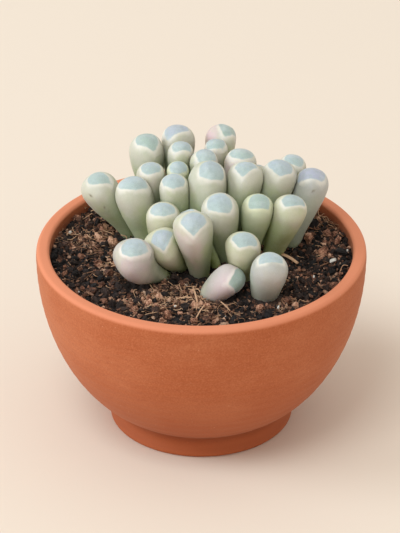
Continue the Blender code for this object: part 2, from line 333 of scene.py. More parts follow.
class Recipe(Nodes):
    """A Geometry Nodes tree that takes a mesh and gives a mesh."""

    def __init__(self, name: str) -> None:
        """Start a tree with one geometry input and one geometry output.

        Args:
            name: The tree's name.
        """
        tree = bpy.data.node_groups.new(name, "GeometryNodeTree")
        super().__init__(tree)
        tree.interface.new_socket("Geometry", in_out="INPUT", socket_type="NodeSocketGeometry")
        tree.interface.new_socket("Geometry", in_out="OUTPUT", socket_type="NodeSocketGeometry")
        self.group_input = tree.nodes.new("NodeGroupInput")
        self.group_output = tree.nodes.new("NodeGroupOutput")
        self.values: dict[str, Any] = {}

    def size(self, name: str, value: float) -> Wire:
        """Add a named input for a size, with the value that the piece uses.

        Args:
            name: The input's name.
            value: Its value. A whole number makes a whole-number input.

        Returns:
            The input.
        """
        kind = "NodeSocketInt" if isinstance(value, int) else "NodeSocketFloat"
        item = self.tree.interface.new_socket(name, in_out="INPUT", socket_type=kind)
        self.values[item.identifier] = value
        return Wire(self, self.group_input.outputs[name])

    def geometry(self) -> Wire:
        """The mesh that comes in."""
        return Wire(self, self.group_input.outputs["Geometry"])

    def position(self) -> Wire:
        """The place of each point."""
        return self.add("GeometryNodeInputPosition")

    def held(self, attribute: str) -> Wire:
        """A number that the mesh holds at each point."""
        settings = {"data_type": "FLOAT"}
        return self.add("GeometryNodeInputNamedAttribute", settings, {"Name": attribute})

    def random(self, low: Any, high: Any, seed: int) -> Wire:
        """Draw a value for each instance.

        Args:
            low: The smallest value, a number or a vector.
            high: The largest value, of the same kind.
            seed: The seed of the draw.

        Returns:
            The values.
        """
        vector = isinstance(low, tuple)
        settings = {"data_type": "FLOAT_VECTOR" if vector else "FLOAT"}
        ends = {0: low, 1: high} if vector else {2: low, 3: high}
        output = 0 if vector else 1
        return self.add("FunctionNodeRandomValue", settings, {**ends, "Seed": seed}, output)

    def finish(self, mesh: Wire, material: bpy.types.Material) -> None:
        """End the tree in Realize Instances and Set Material.

        Args:
            mesh: The mesh that the tree has made.
            material: What it is made of.
        """
        real = self.add("GeometryNodeRealizeInstances", None, {"Geometry": mesh})
        sockets = {"Geometry": real, "Material": material}
        done = self.add("GeometryNodeSetMaterial", None, sockets)
        self.tree.links.new(done.socket, self.group_output.inputs["Geometry"])

    def run(self, name: str, start: bpy.types.Mesh) -> bpy.types.Mesh:
        """Run the tree once.

        Args:
            name: The name of the mesh that comes out.
            start: The mesh that goes in.

        Returns:
            The finished mesh.
        """
        carrier = add_object(name + "_start", start)
        modifier = carrier.modifiers.new("recipe", "NODES")
        modifier.node_group = self.tree
        for identifier, value in self.values.items():
            modifier[identifier] = value
        graph = bpy.context.evaluated_depsgraph_get()
        mesh = bpy.data.meshes.new_from_object(carrier.evaluated_get(graph))
        mesh.name = name
        bpy.data.objects.remove(carrier)
        return mesh


def add_object(name: str, data: bpy.types.ID) -> bpy.types.Object:
    """Put something in the scene.

    Args:
        name: Its name.
        data: Its mesh, light or camera.

    Returns:
        The object.
    """
    thing = bpy.data.objects.new(name, data)
    bpy.context.scene.collection.objects.link(thing)
    return thing


def put_piece(name: str, mesh: bpy.types.Mesh, slot: str, *nodes: str) -> bpy.types.Object:
    """Add a finished mesh to the scene, riding on the body.

    Args:
        name: The piece's name.
        mesh: Its mesh, with its material.
        slot: The record's material slot. Not used.
        nodes: The CAD nodes that it stands for.

    Returns:
        The piece.
    """
    piece = add_object(name, mesh)
    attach(piece, BODY)
    if nodes:
        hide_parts(*nodes)
    LOG.info("%s: %d faces", name, len(mesh.polygons))
    return piece


def put_values(mesh: bpy.types.Mesh, name: str, values: np.ndarray) -> None:
    """Store a number at each point of a mesh.

    Args:
        mesh: The mesh.
        name: The attribute's name.
        values: One number for each point.
    """
    attribute = mesh.attributes.new(name, "FLOAT", "POINT")
    attribute.data.foreach_set("value", np.asarray(values, np.float32).ravel())


def points_of(mesh: bpy.types.Mesh) -> np.ndarray:
    """Read where the points of a mesh are.

    Args:
        mesh: The mesh.

    Returns:
        One row for each point.
    """
    flat = np.empty(len(mesh.vertices) * 3, np.float32)
    mesh.vertices.foreach_get("co", flat)
    return flat.reshape(-1, 3).astype(float)


def take_mesh(bm: bmesh.types.BMesh, name: str) -> bpy.types.Mesh:
    """Turn an edited mesh into a finished one, and free it.

    Args:
        bm: The edited mesh.
        name: The new name.

    Returns:
        The finished mesh.
    """
    mesh = bpy.data.meshes.new(name)
    bm.to_mesh(mesh)
    bm.free()
    return mesh


def close_outwards(mesh: bpy.types.Mesh) -> None:
    """Merge a mesh's doubles, then turn its faces out.

    Args:
        mesh: The mesh.
    """
    bm = bmesh.new()
    bm.from_mesh(mesh)
    bmesh.ops.remove_doubles(bm, verts=bm.verts, dist=MERGE_DISTANCE)
    bmesh.ops.recalc_face_normals(bm, faces=bm.faces)
    bm.to_mesh(mesh)
    bm.free()


def bezier(corners: Sequence[np.ndarray], share: Any) -> np.ndarray:
    """Points of a cubic curve.

    Args:
        corners: Its two ends and, between them, its two handles.
        share: The shares of its run.

    Returns:
        One row for each share.
    """
    t = np.atleast_1d(share)[:, None]
    weights = ((1 - t) ** 3, 3 * (1 - t) ** 2 * t, 3 * (1 - t) * t * t, t ** 3)
    return sum(weight * np.asarray(corner, float) for weight, corner in zip(weights, corners))


def smooth_step(values: np.ndarray, low: float, high: float) -> np.ndarray:
    """Climb smoothly from 0 at low to 1 at high.

    Args:
        values: The numbers to map.
        low: The value that gives 0.
        high: The value that gives 1.

    Returns:
        The climb at each number.
    """
    share = np.clip((values - low) / (high - low), 0, 1)
    return share * share * (3 - 2 * share)


# Pot


@dataclass(frozen=True)
class Terracotta:
    """Unglazed fired clay: matt orange, with the fine streaks of the wheel and a paler lip.

    The painted shade, the crease's painted shadow and the foot's light are heights between which
    a colour comes in.
    """

    body: Colour = (0.44, 0.103, 0.027)
    pale: Colour = (0.60, 0.205, 0.088)
    # Darker clay for the streaks, grain and pits, and also the painted shade low on the bowl.
    burnt_and_shade: Colour = (0.30, 0.050, 0.005)
    lip: Colour = (0.77, 0.268, 0.140)
    # The painted shadow in the crease between the belly and the foot.
    crease_shadow: Colour = (0.19, 0.034, 0.004)
    # The inside wall's darker colour, from just below the lip down to the soil.
    inner_dark: Colour = (0.24, 0.064, 0.027)
    grit: Colour = (0.74, 0.40, 0.26)
    roughness: float = 0.78
    dust: float = 0.12
    dust_tint: Colour = (1.0, 0.58, 0.36)
    streaks: Cloud = Cloud(0.45 * MM, 4.0, 0.65, (14, 14, 1))
    clouds: Cloud = Cloud(16 * MM, 3.0, 0.55, (1.6, 1.6, 1))
    grain: Cloud = Cloud(0.5 * MM, 2.0, 0.6)
    speck_patches: Cloud = Cloud(5 * MM)
    speck_spacing: float = 1.9 * MM
    speck_size: Pair = (0.10, 0.05)
    pit_spacing: float = 1.3 * MM
    pit_size: Pair = (0.11, 0.03)
    lip_fade: float = 1.2 * MM
    shade: Pair = (40 * MM, 4 * MM)
    crease_shadow_above: Pair = (11 * MM, 6.8 * MM)
    crease_shadow_below: Pair = (4 * MM, 6.2 * MM)
    foot_light: Pair = (5 * MM, 3 * MM)
    relief: float = 0.12 * MM

    def material(self, lip_height: float) -> bpy.types.Material:
        """Mix the clay.

        Args:
            lip_height: Where the lip begins.

        Returns:
            The material.
        """
        paint = Paint("terracotta")
        height = paint.height_of(paint.place())
        streaks = paint.noise(self.streaks)
        clouds = paint.noise(self.clouds)
        grain = paint.noise(self.grain)
        patches = paint.noise(self.speck_patches).ramp(0.5, 0.6)
        specks = paint.cells(self.speck_spacing).ramp(*self.speck_size) * patches
        pits = paint.cells(self.pit_spacing).ramp(*self.pit_size)
        crease_shadow = height.ramp(*self.crease_shadow_above) * height.ramp(*self.crease_shadow_below)
        colour = paint.coats(
            self.body,
            (clouds.ramp(0.34, 0.72), 0.35, self.pale),
            (streaks.ramp(0.5, 0.8), 0.4, self.burnt_and_shade),
            (streaks.ramp(0.45, 0.2), 0.25, self.pale),
            (grain.ramp(0.45, 0.75), 0.4, self.pale),
            (grain.ramp(0.5, 0.25), 0.4, self.burnt_and_shade),
            # Painted shade, darker towards the bottom of the bowl.
            (height.ramp(*self.shade), 0.65, self.burnt_and_shade),
            # Painted shadow in the crease over the foot.
            (crease_shadow, 0.45, self.crease_shadow),
            (height.ramp(*self.foot_light), 0.6, self.body),
            (height.ramp(lip_height, lip_height + self.lip_fade), 0.8, self.lip),
            (specks, 0.55, self.grit),
            (pits, 0.35, self.burnt_and_shade),
            # Darker down the inside wall, below the lip.
            (paint.value_of("inside"), 0.9, self.inner_dark))
        paint.feed("Base Color", colour)
        paint.feed("Roughness", grain * 0.2 + (self.roughness - 0.1))
        paint.feed("Sheen Weight", self.dust)
        paint.feed("Sheen Roughness", 0.5)
        paint.feed("Sheen Tint", self.dust_tint)
        paint.bump(streaks * 0.5 + grain * 0.4 - pits * 0.5, self.relief, 0.5)
        return paint.material


@dataclass
class FootedBowl:
    """The clay bowl, turned from its section as on a wheel.

    The pulls are the handles of the walls' curves: how far they reach out, up or down. The cove
    share is where on the belly's curve the cove over the foot begins.
    """

    rim_radius: float = 50 * MM
    height: float = 58 * MM
    wall: float = 4 * MM
    lip_outer_round: float = 1.4 * MM
    lip_inner_round: float = 1.0 * MM
    foot_top_radius: float = 26.8 * MM
    foot_base_radius: float = 28.0 * MM
    foot_height: float = 6.4 * MM
    foot_round: float = 1.0 * MM
    foot_ring_width: float = 5.5 * MM
    foot_recess: float = 2.2 * MM
    cove_share: float = 0.925
    cove_drop: float = 2.4 * MM
    floor_height: float = 9.0 * MM
    floor_radius: float = 20 * MM
    drain_radius: float = 4 * MM
    belly_pull_out: float = 11.4 * MM
    belly_pull_up: float = 6.0 * MM
    rim_pull_down: float = 25.6 * MM
    inner_pull_out: float = 16 * MM
    recess_edge: tuple[Pair, ...] = (
        (0.0, 0.0), (0.4 * MM, 0.3 * MM), (0.7 * MM, 1.6 * MM), (1.2 * MM, 2.1 * MM))
    lip_band: float = 1.6 * MM
    inner_dark_fade: Pair = (1.5 * MM, 5 * MM)
    inner_dark_reach: float = 1.5 * MM
    sides: int = 180
    ripple: float = 0.05 * MM
    ripple_pitch: float = 3.2 * MM
    wall_steps: int = 200
    round_steps: int = 9
    belly_steps: int = 90
    inner_steps: int = 70
    recess_steps: int = 24
    floor_steps: int = 10
    clay: Terracotta = Terracotta()

    def inner_wall(self, share: Any) -> np.ndarray:
        """The inside of the bowl.

        Args:
            share: How far up each point is, from the floor at 0 to the rim at 1.

        Returns:
            One row for each point: its radius and its height.
        """
        rim = (self.rim_radius - self.wall, self.height - self.lip_inner_round)
        floor = (self.floor_radius, self.floor_height)
        handles = ((floor[0] + self.inner_pull_out, floor[1]),
                   (rim[0], rim[1] - self.rim_pull_down))
        return bezier((floor, *handles, rim), share)

    def outer_wall(self, share: Any) -> np.ndarray:
        """The belly of the bowl.

        Args:
            share: How far down each point is, from the rim at 0 to the foot at 1.

        Returns:
            One row for each point: its radius and its height.
        """
        rim = (self.rim_radius, self.height - self.lip_outer_round)
        foot = (self.foot_top_radius, self.foot_height)
        handles = ((rim[0], rim[1] - self.rim_pull_down),
                   (foot[0] + self.belly_pull_out, foot[1] + self.belly_pull_up))
        return bezier((rim, *handles, foot), share)

    def foot_side(self) -> np.ndarray:
        """The soft cove under the belly and the foot's side, which flares a little."""
        corner = (self.foot_top_radius, self.foot_height)
        belly = self.outer_wall(self.cove_share)[0]
        under = (self.foot_top_radius, self.foot_height - self.cove_drop)
        base = (self.foot_base_radius, self.foot_round)
        third = (under[1] - base[1]) / 3
        flare = ((under[0], under[1] - third), (base[0], base[1] + third))
        shares = np.linspace(0, 1, self.round_steps)[1:]
        return np.concatenate([bezier((belly, corner, corner, under), shares),
                               bezier((under, *flare, base), shares[:-1])])

    def inner_radius(self, height: Any) -> Any:
        """The radius of the bowl's inside at a height, or at each of many."""
        wall = self.inner_wall(np.linspace(0, 1, self.wall_steps))
        return np.interp(height, wall[:, 1], wall[:, 0])

    def arc(self, middle: Pair, radius: float, start: float, end: float) -> np.ndarray:
        """Points of a round.

        Args:
            middle: Its middle.
            radius: Its radius.
            start: The angle that it starts at, in degrees.
            end: The angle that it ends at.

        Returns:
            One row for each point.
        """
        turns = np.radians(np.linspace(start, end, self.round_steps))
        ring = np.stack([np.cos(turns), np.sin(turns)], axis=1)
        return np.array(middle) + radius * ring

    @staticmethod
    def level_run(start: float, end: float, height: float, steps: int) -> np.ndarray:
        """Points of a level stretch of the section.

        Args:
            start: The radius that it starts at.
            end: The radius that it ends at.
            height: Its height.
            steps: How many points it has.

        Returns:
            One row for each point.
        """
        return np.stack([np.linspace(start, end, steps), np.full(steps, height)], axis=1)

    def section(self) -> np.ndarray:
        """The bowl's section: down the outside, across the underside and up the inside."""
        lip_out = (self.rim_radius - self.lip_outer_round, self.height - self.lip_outer_round)
        lip_in = (self.rim_radius - self.wall + self.lip_inner_round,
                  self.height - self.lip_inner_round)
        ring_inside = self.foot_base_radius - self.foot_ring_width
        recess_start = ring_inside - 2 * self.foot_round
        foot_middle = (self.foot_base_radius - self.foot_round, self.foot_round)
        return np.concatenate([
            self.arc(lip_out, self.lip_outer_round, 90, 10),
            self.outer_wall(np.linspace(0, self.cove_share, self.belly_steps)),
            self.foot_side(),
            self.arc(foot_middle, self.foot_round, 0, -90),
            [(ring_inside - inward, up) for inward, up in self.recess_edge],
            self.level_run(recess_start, self.drain_radius, self.foot_recess,
                           self.recess_steps),
            self.level_run(self.drain_radius, self.floor_radius, self.floor_height,
                           self.floor_steps)[:-1],
            self.inner_wall(np.linspace(0, 1, self.inner_steps)),
            self.arc(lip_in, self.lip_inner_round, 170, 90),
            [(lip_out[0], self.height)],
        ])

    def turning(self, material: bpy.types.Material) -> Recipe:
        """The recipe that turns a section into the bowl.

        Args:
            material: The clay.

        Returns:
            The tree, whose input mesh is the section with its points in order.
        """
        recipe = Recipe("turned_bowl")
        sides = recipe.size("Sides", self.sides)
        ripple = recipe.size("Ripple", self.ripple)
        ripple_pitch = recipe.size("Ripple Pitch", self.ripple_pitch)
        section = recipe.geometry()
        count = recipe.add("GeometryNodeAttributeDomainSize", None, {"Geometry": section})
        sockets = {"Size X": 1.0, "Size Y": 1.0, "Vertices X": sides + 1, "Vertices Y": count}
        sheet = recipe.add("GeometryNodeMeshGrid", None, sockets)
        spot = recipe.make("ShaderNodeSeparateXYZ", None, {0: recipe.position()})
        around = Wire(recipe, spot.outputs["X"]) + 0.5
        row = ((Wire(recipe, spot.outputs["Y"]) + 0.5) * (count - 1)).maths("ROUND")
        settings = {"data_type": "FLOAT_VECTOR", "domain": "POINT"}
        sockets = {"Geometry": section, 1: recipe.position(), "Index": row}
        corner = recipe.add("GeometryNodeSampleIndex", settings, sockets)
        turned = recipe.add("ShaderNodeVectorRotate", {"rotation_type": "Z_AXIS"},
                            {"Vector": corner, "Angle": around * tau})
        rings = recipe.height_of(corner) / ripple_pitch
        wave = ((rings * tau).maths("SINE") - 1.0) * ripple
        flat = recipe.vectors("MULTIPLY", {0: turned, 1: (1.0, 1.0, 0.0)})
        out = recipe.vectors("NORMALIZE", {0: flat})
        shift = recipe.vectors("SCALE", {0: out, "Scale": wave})
        moved = recipe.add("GeometryNodeSetPosition", None,
                           {"Geometry": sheet, "Position": turned, "Offset": shift})
        merged = recipe.add("GeometryNodeMergeByDistance", None,
                            {"Geometry": moved, "Distance": MERGE_DISTANCE})
        recipe.finish(merged, material)
        return recipe

    def build(self) -> bpy.types.Object:
        """Turn the bowl and put it in the scene."""
        corners = self.section()
        start = bpy.data.meshes.new("bowl_section")
        edges = [(index, index + 1) for index in range(len(corners) - 1)]
        start.from_pydata([(x, 0.0, z) for x, z in corners], edges, [])
        material = self.clay.material(self.height - self.lip_band)
        mesh = self.turning(material).run("clay_bowl", start)
        close_outwards(mesh)
        mesh.shade_smooth()
        points = points_of(mesh)
        radius = np.hypot(points[:, 0], points[:, 1])
        level = points[:, 2]
        # How much darker the inside wall is, growing from nothing just below the lip to full at
        # the soil.
        inside = smooth_step(level, *(self.height - depth for depth in self.inner_dark_fade))
        inside *= radius < self.inner_radius(level) + self.inner_dark_reach
        inside *= level > self.floor_height - 0.5 * MM
        put_values(mesh, "inside", inside)
        return put_piece("clay_bowl", mesh, "terracotta", "pot")


# Leaves


@dataclass(frozen=True)
class WaxySkin:
    """A leaf's skin: pale wax over green flesh, and a clear window at the tip."""

    name: str
    head: Colour = (0.575, 0.560, 0.470)
    stem: Colour = (0.36, 0.425, 0.25)
    moss: Colour = (0.47, 0.52, 0.29)
    # Dark green near the soil: partly the leaf's own green and partly painted shade.
    foot: Colour = (0.25, 0.31, 0.085)
    blush: Colour = (0.70, 0.49, 0.52)
    # Pale wax round the window, and also the painted highlight along its edge.
    border: Colour = (0.78, 0.745, 0.68)
    pane_far: Colour = (0.46, 0.53, 0.58)
    pane_near: Colour = (0.42, 0.52, 0.505)
    pane_green: Colour = (0.38, 0.49, 0.43)
    pane_lilac: Colour = (0.44, 0.46, 0.57)
    pane_deep: Colour = (0.36, 0.43, 0.43)
    pane_frost: Colour = (0.66, 0.71, 0.72)
    scar: Colour = (0.13, 0.09, 0.03)
    wax_roughness: float = 0.52
    pane_roughness: float = 0.36
    glow: float = 0.30
    glow_depth: float = 2.4 * MM
    glow_colour: Colour = (1.0, 0.95, 0.6)
    clouds: Cloud = Cloud(4.5 * MM, 3.0, 0.55)
    powder: Cloud = Cloud(0.42 * MM, 3.0, 0.7)
    flecks: Cloud = Cloud(0.30 * MM, 2.0, 0.75)
    blotches: Cloud = Cloud(1.6 * MM, 3.0, 0.6)
    patches: Cloud = Cloud(6.5 * MM, 2.0, 0.5)
    tears: Cloud = Cloud(2.4 * MM, 4.0, 0.6)
    raggedness: float = 0.9
    unevenness: float = 1.8
    relief: float = 0.05 * MM

    def material(self) -> bpy.types.Material:
        """Mix the skin. It reads what the leaf's mesh holds at each point."""
        paint = Paint("waxy_" + self.name)
        below = paint.value_of("below_head")
        far = paint.value_of("window_far")
        hue = paint.value_of("window_hue")
        clouds = paint.noise(self.clouds)
        powder = paint.noise(self.powder)
        flecks = paint.noise(self.flecks)
        blotches = paint.noise(self.blotches)
        patches = paint.noise(self.patches)
        tears = paint.noise(self.tears)
        window = paint.value_of("window") + (tears - 0.5) * self.raggedness
        down = below + (clouds - 0.5) * self.unevenness
        # The pale border round the window is partly the skin's own pale wax and partly a painted
        # highlight, strongest along its near edge.
        border = window.ramp(-1.3, -0.2) * (far.ramp(1.0, 0.45) * 0.6 + 0.2)
        # Greener and darker down the leaf: the green is the leaf's own, and the darkening towards
        # the soil is painted shade.
        skin = paint.coats(
            self.head,
            (down.ramp(-0.3, 1.9), 1.0, self.stem),
            (down.ramp(2.4, 4.6), 1.0, self.foot),
            (paint.value_of("blush") * clouds.ramp(0.15, 0.6), 1.0, self.blush),
            (patches.ramp(0.48, 0.66) * (below + 0.3).ramp(0.0, 1.0), 0.55, self.moss),
            (border * patches.ramp(0.2, 0.5), 1.0, self.border),
            (powder.ramp(0.35, 0.8), 0.16, self.border),
            (paint.value_of("scar"), 1.0, self.scar))
        pane = paint.coats(
            self.pane_near,
            (far, 1.0, self.pane_far),
            (hue.ramp(0.0, 1.0), 1.0, self.pane_green),
            (hue.ramp(0.0, -1.0), 1.0, self.pane_lilac),
            (blotches.ramp(0.44, 0.68), 0.5, self.pane_deep),
            (flecks.ramp(0.45, 0.85), 0.5, self.pane_frost),
            (clouds.ramp(0.45, 0.75), 0.4, self.pane_frost),
            (window.ramp(0.7, 0.0), 0.35, self.pane_near))
        clear = window.ramp(-0.22, 0.22)
        smoother = clear * (self.wax_roughness - self.pane_roughness)
        paint.feed("Base Color", paint.mix(clear, skin, pane))
        paint.feed("Roughness", powder * 0.12 + (self.wax_roughness - 0.06) - smoother)
        paint.feed("Subsurface Weight", self.glow)
        paint.feed("Subsurface Scale", self.glow_depth)
        paint.feed("Subsurface Radius", self.glow_colour)
        paint.feed("Specular IOR Level", 0.42)
        paint.bump(powder * 0.7 + clouds * 0.6, self.relief, 0.5)
        return paint.material


class Tint(Enum):
    """The cast of a leaf."""

    PALE = WaxySkin("pale")
    GREEN = WaxySkin("green", head=(0.57, 0.60, 0.43), stem=(0.38, 0.47, 0.26),
                     border=(0.76, 0.76, 0.56), pane_far=(0.38, 0.50, 0.50))
    FRESH = WaxySkin("fresh", head=(0.57, 0.555, 0.415), stem=(0.39, 0.43, 0.20))
    SILVER = WaxySkin("silver", head=(0.50, 0.50, 0.475), stem=(0.37, 0.41, 0.33),
                      moss=(0.46, 0.49, 0.40))
    LILAC = WaxySkin("lilac", head=(0.56, 0.495, 0.485), stem=(0.36, 0.39, 0.29),
                     moss=(0.56, 0.55, 0.43), border=(0.82, 0.75, 0.70))


@dataclass(frozen=True)
class Window:
    """The outline of a leaf's window, in head radii from its middle: u across, v to the front.

    It is an oval cut off in front by two straight edges that meet at the point.
    """

    point: Pair = (0.0, 0.55)
    left_slope: float = 0.35
    right_slope: float = 0.35
    middle: float = 0.0
    half_width: float = 0.66
    far: float = 0.66
    crispness: float = 9.0
    near_flat: float = 0.75
    edge_overlap: float = 0.2

    def reach(self, u: np.ndarray, v: np.ndarray) -> np.ndarray:
        """How far inside the outline a place lies, negative outside it.

        Args:
            u: Places across the window.
            v: Places towards the front.

        Returns:
            The distance in head radii.
        """
        oval = np.where(v < 0, v / self.far, self.near_flat * v)
        inside = [self.half_width * (1 - np.hypot((u - self.middle) / self.half_width, oval))]
        for slope, side in ((self.left_slope, -1), (self.right_slope, 1)):
            along = np.maximum(side * (u - self.point[0]), -self.edge_overlap)
            edge = self.point[1] - slope * along - v
            inside.append(edge / sqrt(1 + slope * slope))
        total = sum(np.exp(-self.crispness * np.clip(part, -3, 3)) for part in inside)
        return -np.log(total) / self.crispness


@dataclass
class Leaf:
    """One club-shaped leaf: a thin foot in the soil, a fat head and a flattened window on top.

    Places and the width are in millimetres. The turn is the way the keel faces in degrees, with
    0 at the front, and the tilt is how far the window leans that way. Keel is how sharp the keel
    is, and nod how far the head leans past its stem. Club is the club's length and cap the height
    of the head over its widest ring, both in head radii. Green is how far the green of the stem,
    with the painted shade that darkens the leaf towards the soil, creeps up, in head radii, and
    hue casts the window towards lilac below 0 and sea green above.

    The fields from the soil's level on are the same for all leaves. Of these, the window's slope
    and its border's place and width are in millimetres, and the shoulder is in degrees.
    """

    name: str
    stand: Pair
    head: Triple
    width: float
    turn: float
    tilt: float
    keel: float
    nod: float = 0.2
    club: float = 2.3
    cap: float = 1.2
    tint: Tint = Tint.PALE
    window: Window = Window()
    blush: float = 0.0
    blush_turn: float = -30.0
    scars: tuple[Triple, ...] = ()
    green: float = 0.15
    hue: float = 0.0

    soil_level: float = 54 * MM
    foot_depth: float = 5 * MM
    foot_girth: float = 0.43
    foot_point: float = 0.45
    window_depth: float = 0.87
    window_roundness: float = 1.7
    facet_depth: float = 0.80
    facet_sharpness: float = 6
    back_flat: float = 0.3
    edge_sharpness: float = 9
    rise_share: float = 0.36
    lean_share: float = 0.10
    keel_start: float = 0.35
    sides: int = 72
    stem_rings: int = 34
    cap_rings: int = 44
    window_sink: float = 0.13 * MM
    border_lift: float = 0.07 * MM
    unevenness: float = 0.09 * MM
    contact_gap: float = 0.08 * MM
    contact_reach: float = 0.6 * MM
    dent_size: float = 3.5 * MM
    tip_drop: float = 0.3
    ring_bunching: float = 1.1
    shoulder: float = 35
    window_lowest: float = 0.15
    window_run: Pair = (0.55, -0.75)
    window_slope: float = 0.7
    border_place: float = -0.25
    border_width: float = 0.4
    blush_fade: Pair = (0.05, 0.9)
    press_fade: Pair = (0.90, 0.99)
    scar_stretch: float = 0.8
    head_green: float = 0.4
    green_climb: float = 1.5
    spine_steps: int = 61
    squeeze_steps: int = 14

    def __post_init__(self) -> None:
        """Work out the spine and the leaf's girth along it."""
        self.radius = self.width * MM / 2
        self.base = np.array([self.stand[0] * MM, self.stand[1] * MM,
                              self.soil_level - self.foot_depth])
        self.middle = np.array(self.head, float) * MM
        chord = self.middle - self.base
        level = chord * (1, 1, 0)
        axis = chord + self.nod * level
        self.axis = axis / np.linalg.norm(axis)
        pull = self.rise_share * np.linalg.norm(chord)
        self.curve = (self.base, self.base + self.lean_share * level + (0, 0, pull),
                      self.middle - pull * self.axis, self.middle)
        self.front = np.array([sin(radians(self.turn)), -cos(radians(self.turn)), 0])
        self.shares = np.linspace(0, 1, self.spine_steps)
        self.spine = bezier(self.curve, self.shares)
        steps = np.linalg.norm(np.diff(self.spine, axis=0), axis=1)
        self.run = np.concatenate([[0], np.cumsum(steps)])
        self.spine_girth = self.girth(self.shares)

    def girth(self, share: np.ndarray) -> np.ndarray:
        """The leaf's radius along its spine: a thin foot that swells into the head.

        Args:
            share: Shares of the spine's run.

        Returns:
            The radius at each.
        """
        along = np.interp(share, self.shares, self.run)
        below_head = (self.run[-1] - along) / self.radius
        club = self.foot_girth + (1 - self.foot_girth) * np.exp(-(below_head / self.club) ** 2)
        point = self.foot_point + (1 - self.foot_point) * np.clip(along / self.foot_depth, 0, 1)
        return self.radius * club * point

    def section(self, angle: np.ndarray, keel: Any) -> np.ndarray:
        """A circle with three soft flats, 1 across the leaf, so that one edge faces the keel.

        Args:
            angle: Angles round from the keel.
            keel: How sharp the keel is.

        Returns:
            The reach at each angle.
        """
        def blunt(turn: Any) -> Any:
            """The reach of the section at an angle, before it is made 1 wide.

            Args:
                turn: The angle, or many.

            Returns:
                The reach.
            """
            flats = ((pi / 3, 1.0), (-pi / 3, 1.0), (pi, self.back_flat))
            total = 1 + keel * sum(
                share * (np.maximum(np.cos(turn - flat), 0) / self.facet_depth)
                ** self.facet_sharpness for flat, share in flats)
            return total ** (-1 / self.facet_sharpness)

        return blunt(angle) / blunt(pi / 2)

    def head_reach(self, angle: np.ndarray, climb: np.ndarray) -> np.ndarray:
        """The distance from the head's middle to the skin, with the window flattened.

        Args:
            angle: Angles round from the keel.
            climb: Angles up from the head's widest ring.

        Returns:
            The distances.
        """
        side = self.radius * self.section(angle, self.keel)
        top = self.radius * self.cap
        body = 1 / np.hypot(np.cos(climb) / side, np.sin(climb) / top)
        tilt = radians(self.tilt)
        facing = sin(tilt) * np.cos(climb) * np.cos(angle) + cos(tilt) * np.sin(climb)
        bow = self.window_roundness * self.radius
        offset = bow - self.window_depth * top
        window = -offset * facing + np.sqrt((offset * facing) ** 2 + bow ** 2 - offset ** 2)
        sharp = self.edge_sharpness
        pressed = (1 + (body / window) ** sharp) ** (-1 / sharp)
        return body * (1 + (pressed - 1) * smooth_step(climb, 0.0, radians(self.shoulder)))

    def frame_at(self, share: np.ndarray) -> tuple[np.ndarray, np.ndarray, np.ndarray]:
        """The spine's direction, and the leaf's front and side there.

        Args:
            share: Shares of the spine's run.

        Returns:
            Three directions, one row each.
        """
        step = 0.01
        ahead = bezier(self.curve, np.minimum(share + step, 1))
        behind = bezier(self.curve, np.maximum(share - step, 0))
        axis = ahead - behind
        axis /= np.linalg.norm(axis, axis=1)[:, None]
        front = self.front - axis * (axis @ self.front)[:, None]
        front /= np.linalg.norm(front, axis=1)[:, None]
        return axis, front, np.cross(axis, front)

    def depth(self, points: np.ndarray) -> np.ndarray:
        """How far points lie outside this leaf's round body, negative inside it."""
        apart = np.linalg.norm(points[:, None] - self.spine[None], axis=2)
        return (apart - self.spine_girth).min(axis=1)

    def crowds(self, other: Leaf) -> bool:
        """Whether two leaves come close enough to press on each other.

        Args:
            other: The other leaf.

        Returns:
            True where they do.
        """
        apart = np.linalg.norm(self.spine[:, None] - other.spine[None], axis=2)
        gap = (apart - self.spine_girth[:, None] - other.spine_girth[None]).min()
        return gap < self.contact_reach

    def squeeze(self, centres: np.ndarray, reaches: np.ndarray,
                others: Sequence[Leaf]) -> np.ndarray:
        """Shorten the reaches where leaves press together, so that each stops at the middle.

        Args:
            centres: The points of the spine that the skin stands over.
            reaches: From there to the skin.
            others: The leaves that press on this one, if any.

        Returns:
            The share of each reach that stays.
        """
        def clear(share: np.ndarray) -> np.ndarray:
            """Whether points keep clear of the other leaves.

            Args:
                share: How much of each reach is used.

            Returns:
                True for each point that does.
            """
            points = centres + share[:, None] * reaches
            own = self.depth(points)
            spare = [other.depth(points) - own for other in others]
            return np.min(spare, axis=0) >= self.contact_gap

        kept = np.ones(len(centres))
        pressed = np.flatnonzero(~clear(kept)) if others else []
        if not len(pressed):
            return kept
        centres, reaches = centres[pressed], reaches[pressed]
        low, high = np.zeros(len(pressed)), np.ones(len(pressed))
        for _ in range(self.squeeze_steps):
            trial = (low + high) / 2
            good = clear(trial)
            low = np.where(good, trial, low)
            high = np.where(good, high, trial)
        kept[pressed] = low
        return kept

    def head_frame(self) -> tuple[np.ndarray, np.ndarray, np.ndarray]:
        """The axis, the front and the side of the head."""
        axis, front, side = self.frame_at(np.array([1.0]))
        return axis[0], front[0], side[0]

    @staticmethod
    def ring(angles: np.ndarray, front: np.ndarray, side: np.ndarray) -> np.ndarray:
        """Directions round a ring, from its front."""
        return np.sin(angles)[..., None] * side + np.cos(angles)[..., None] * front

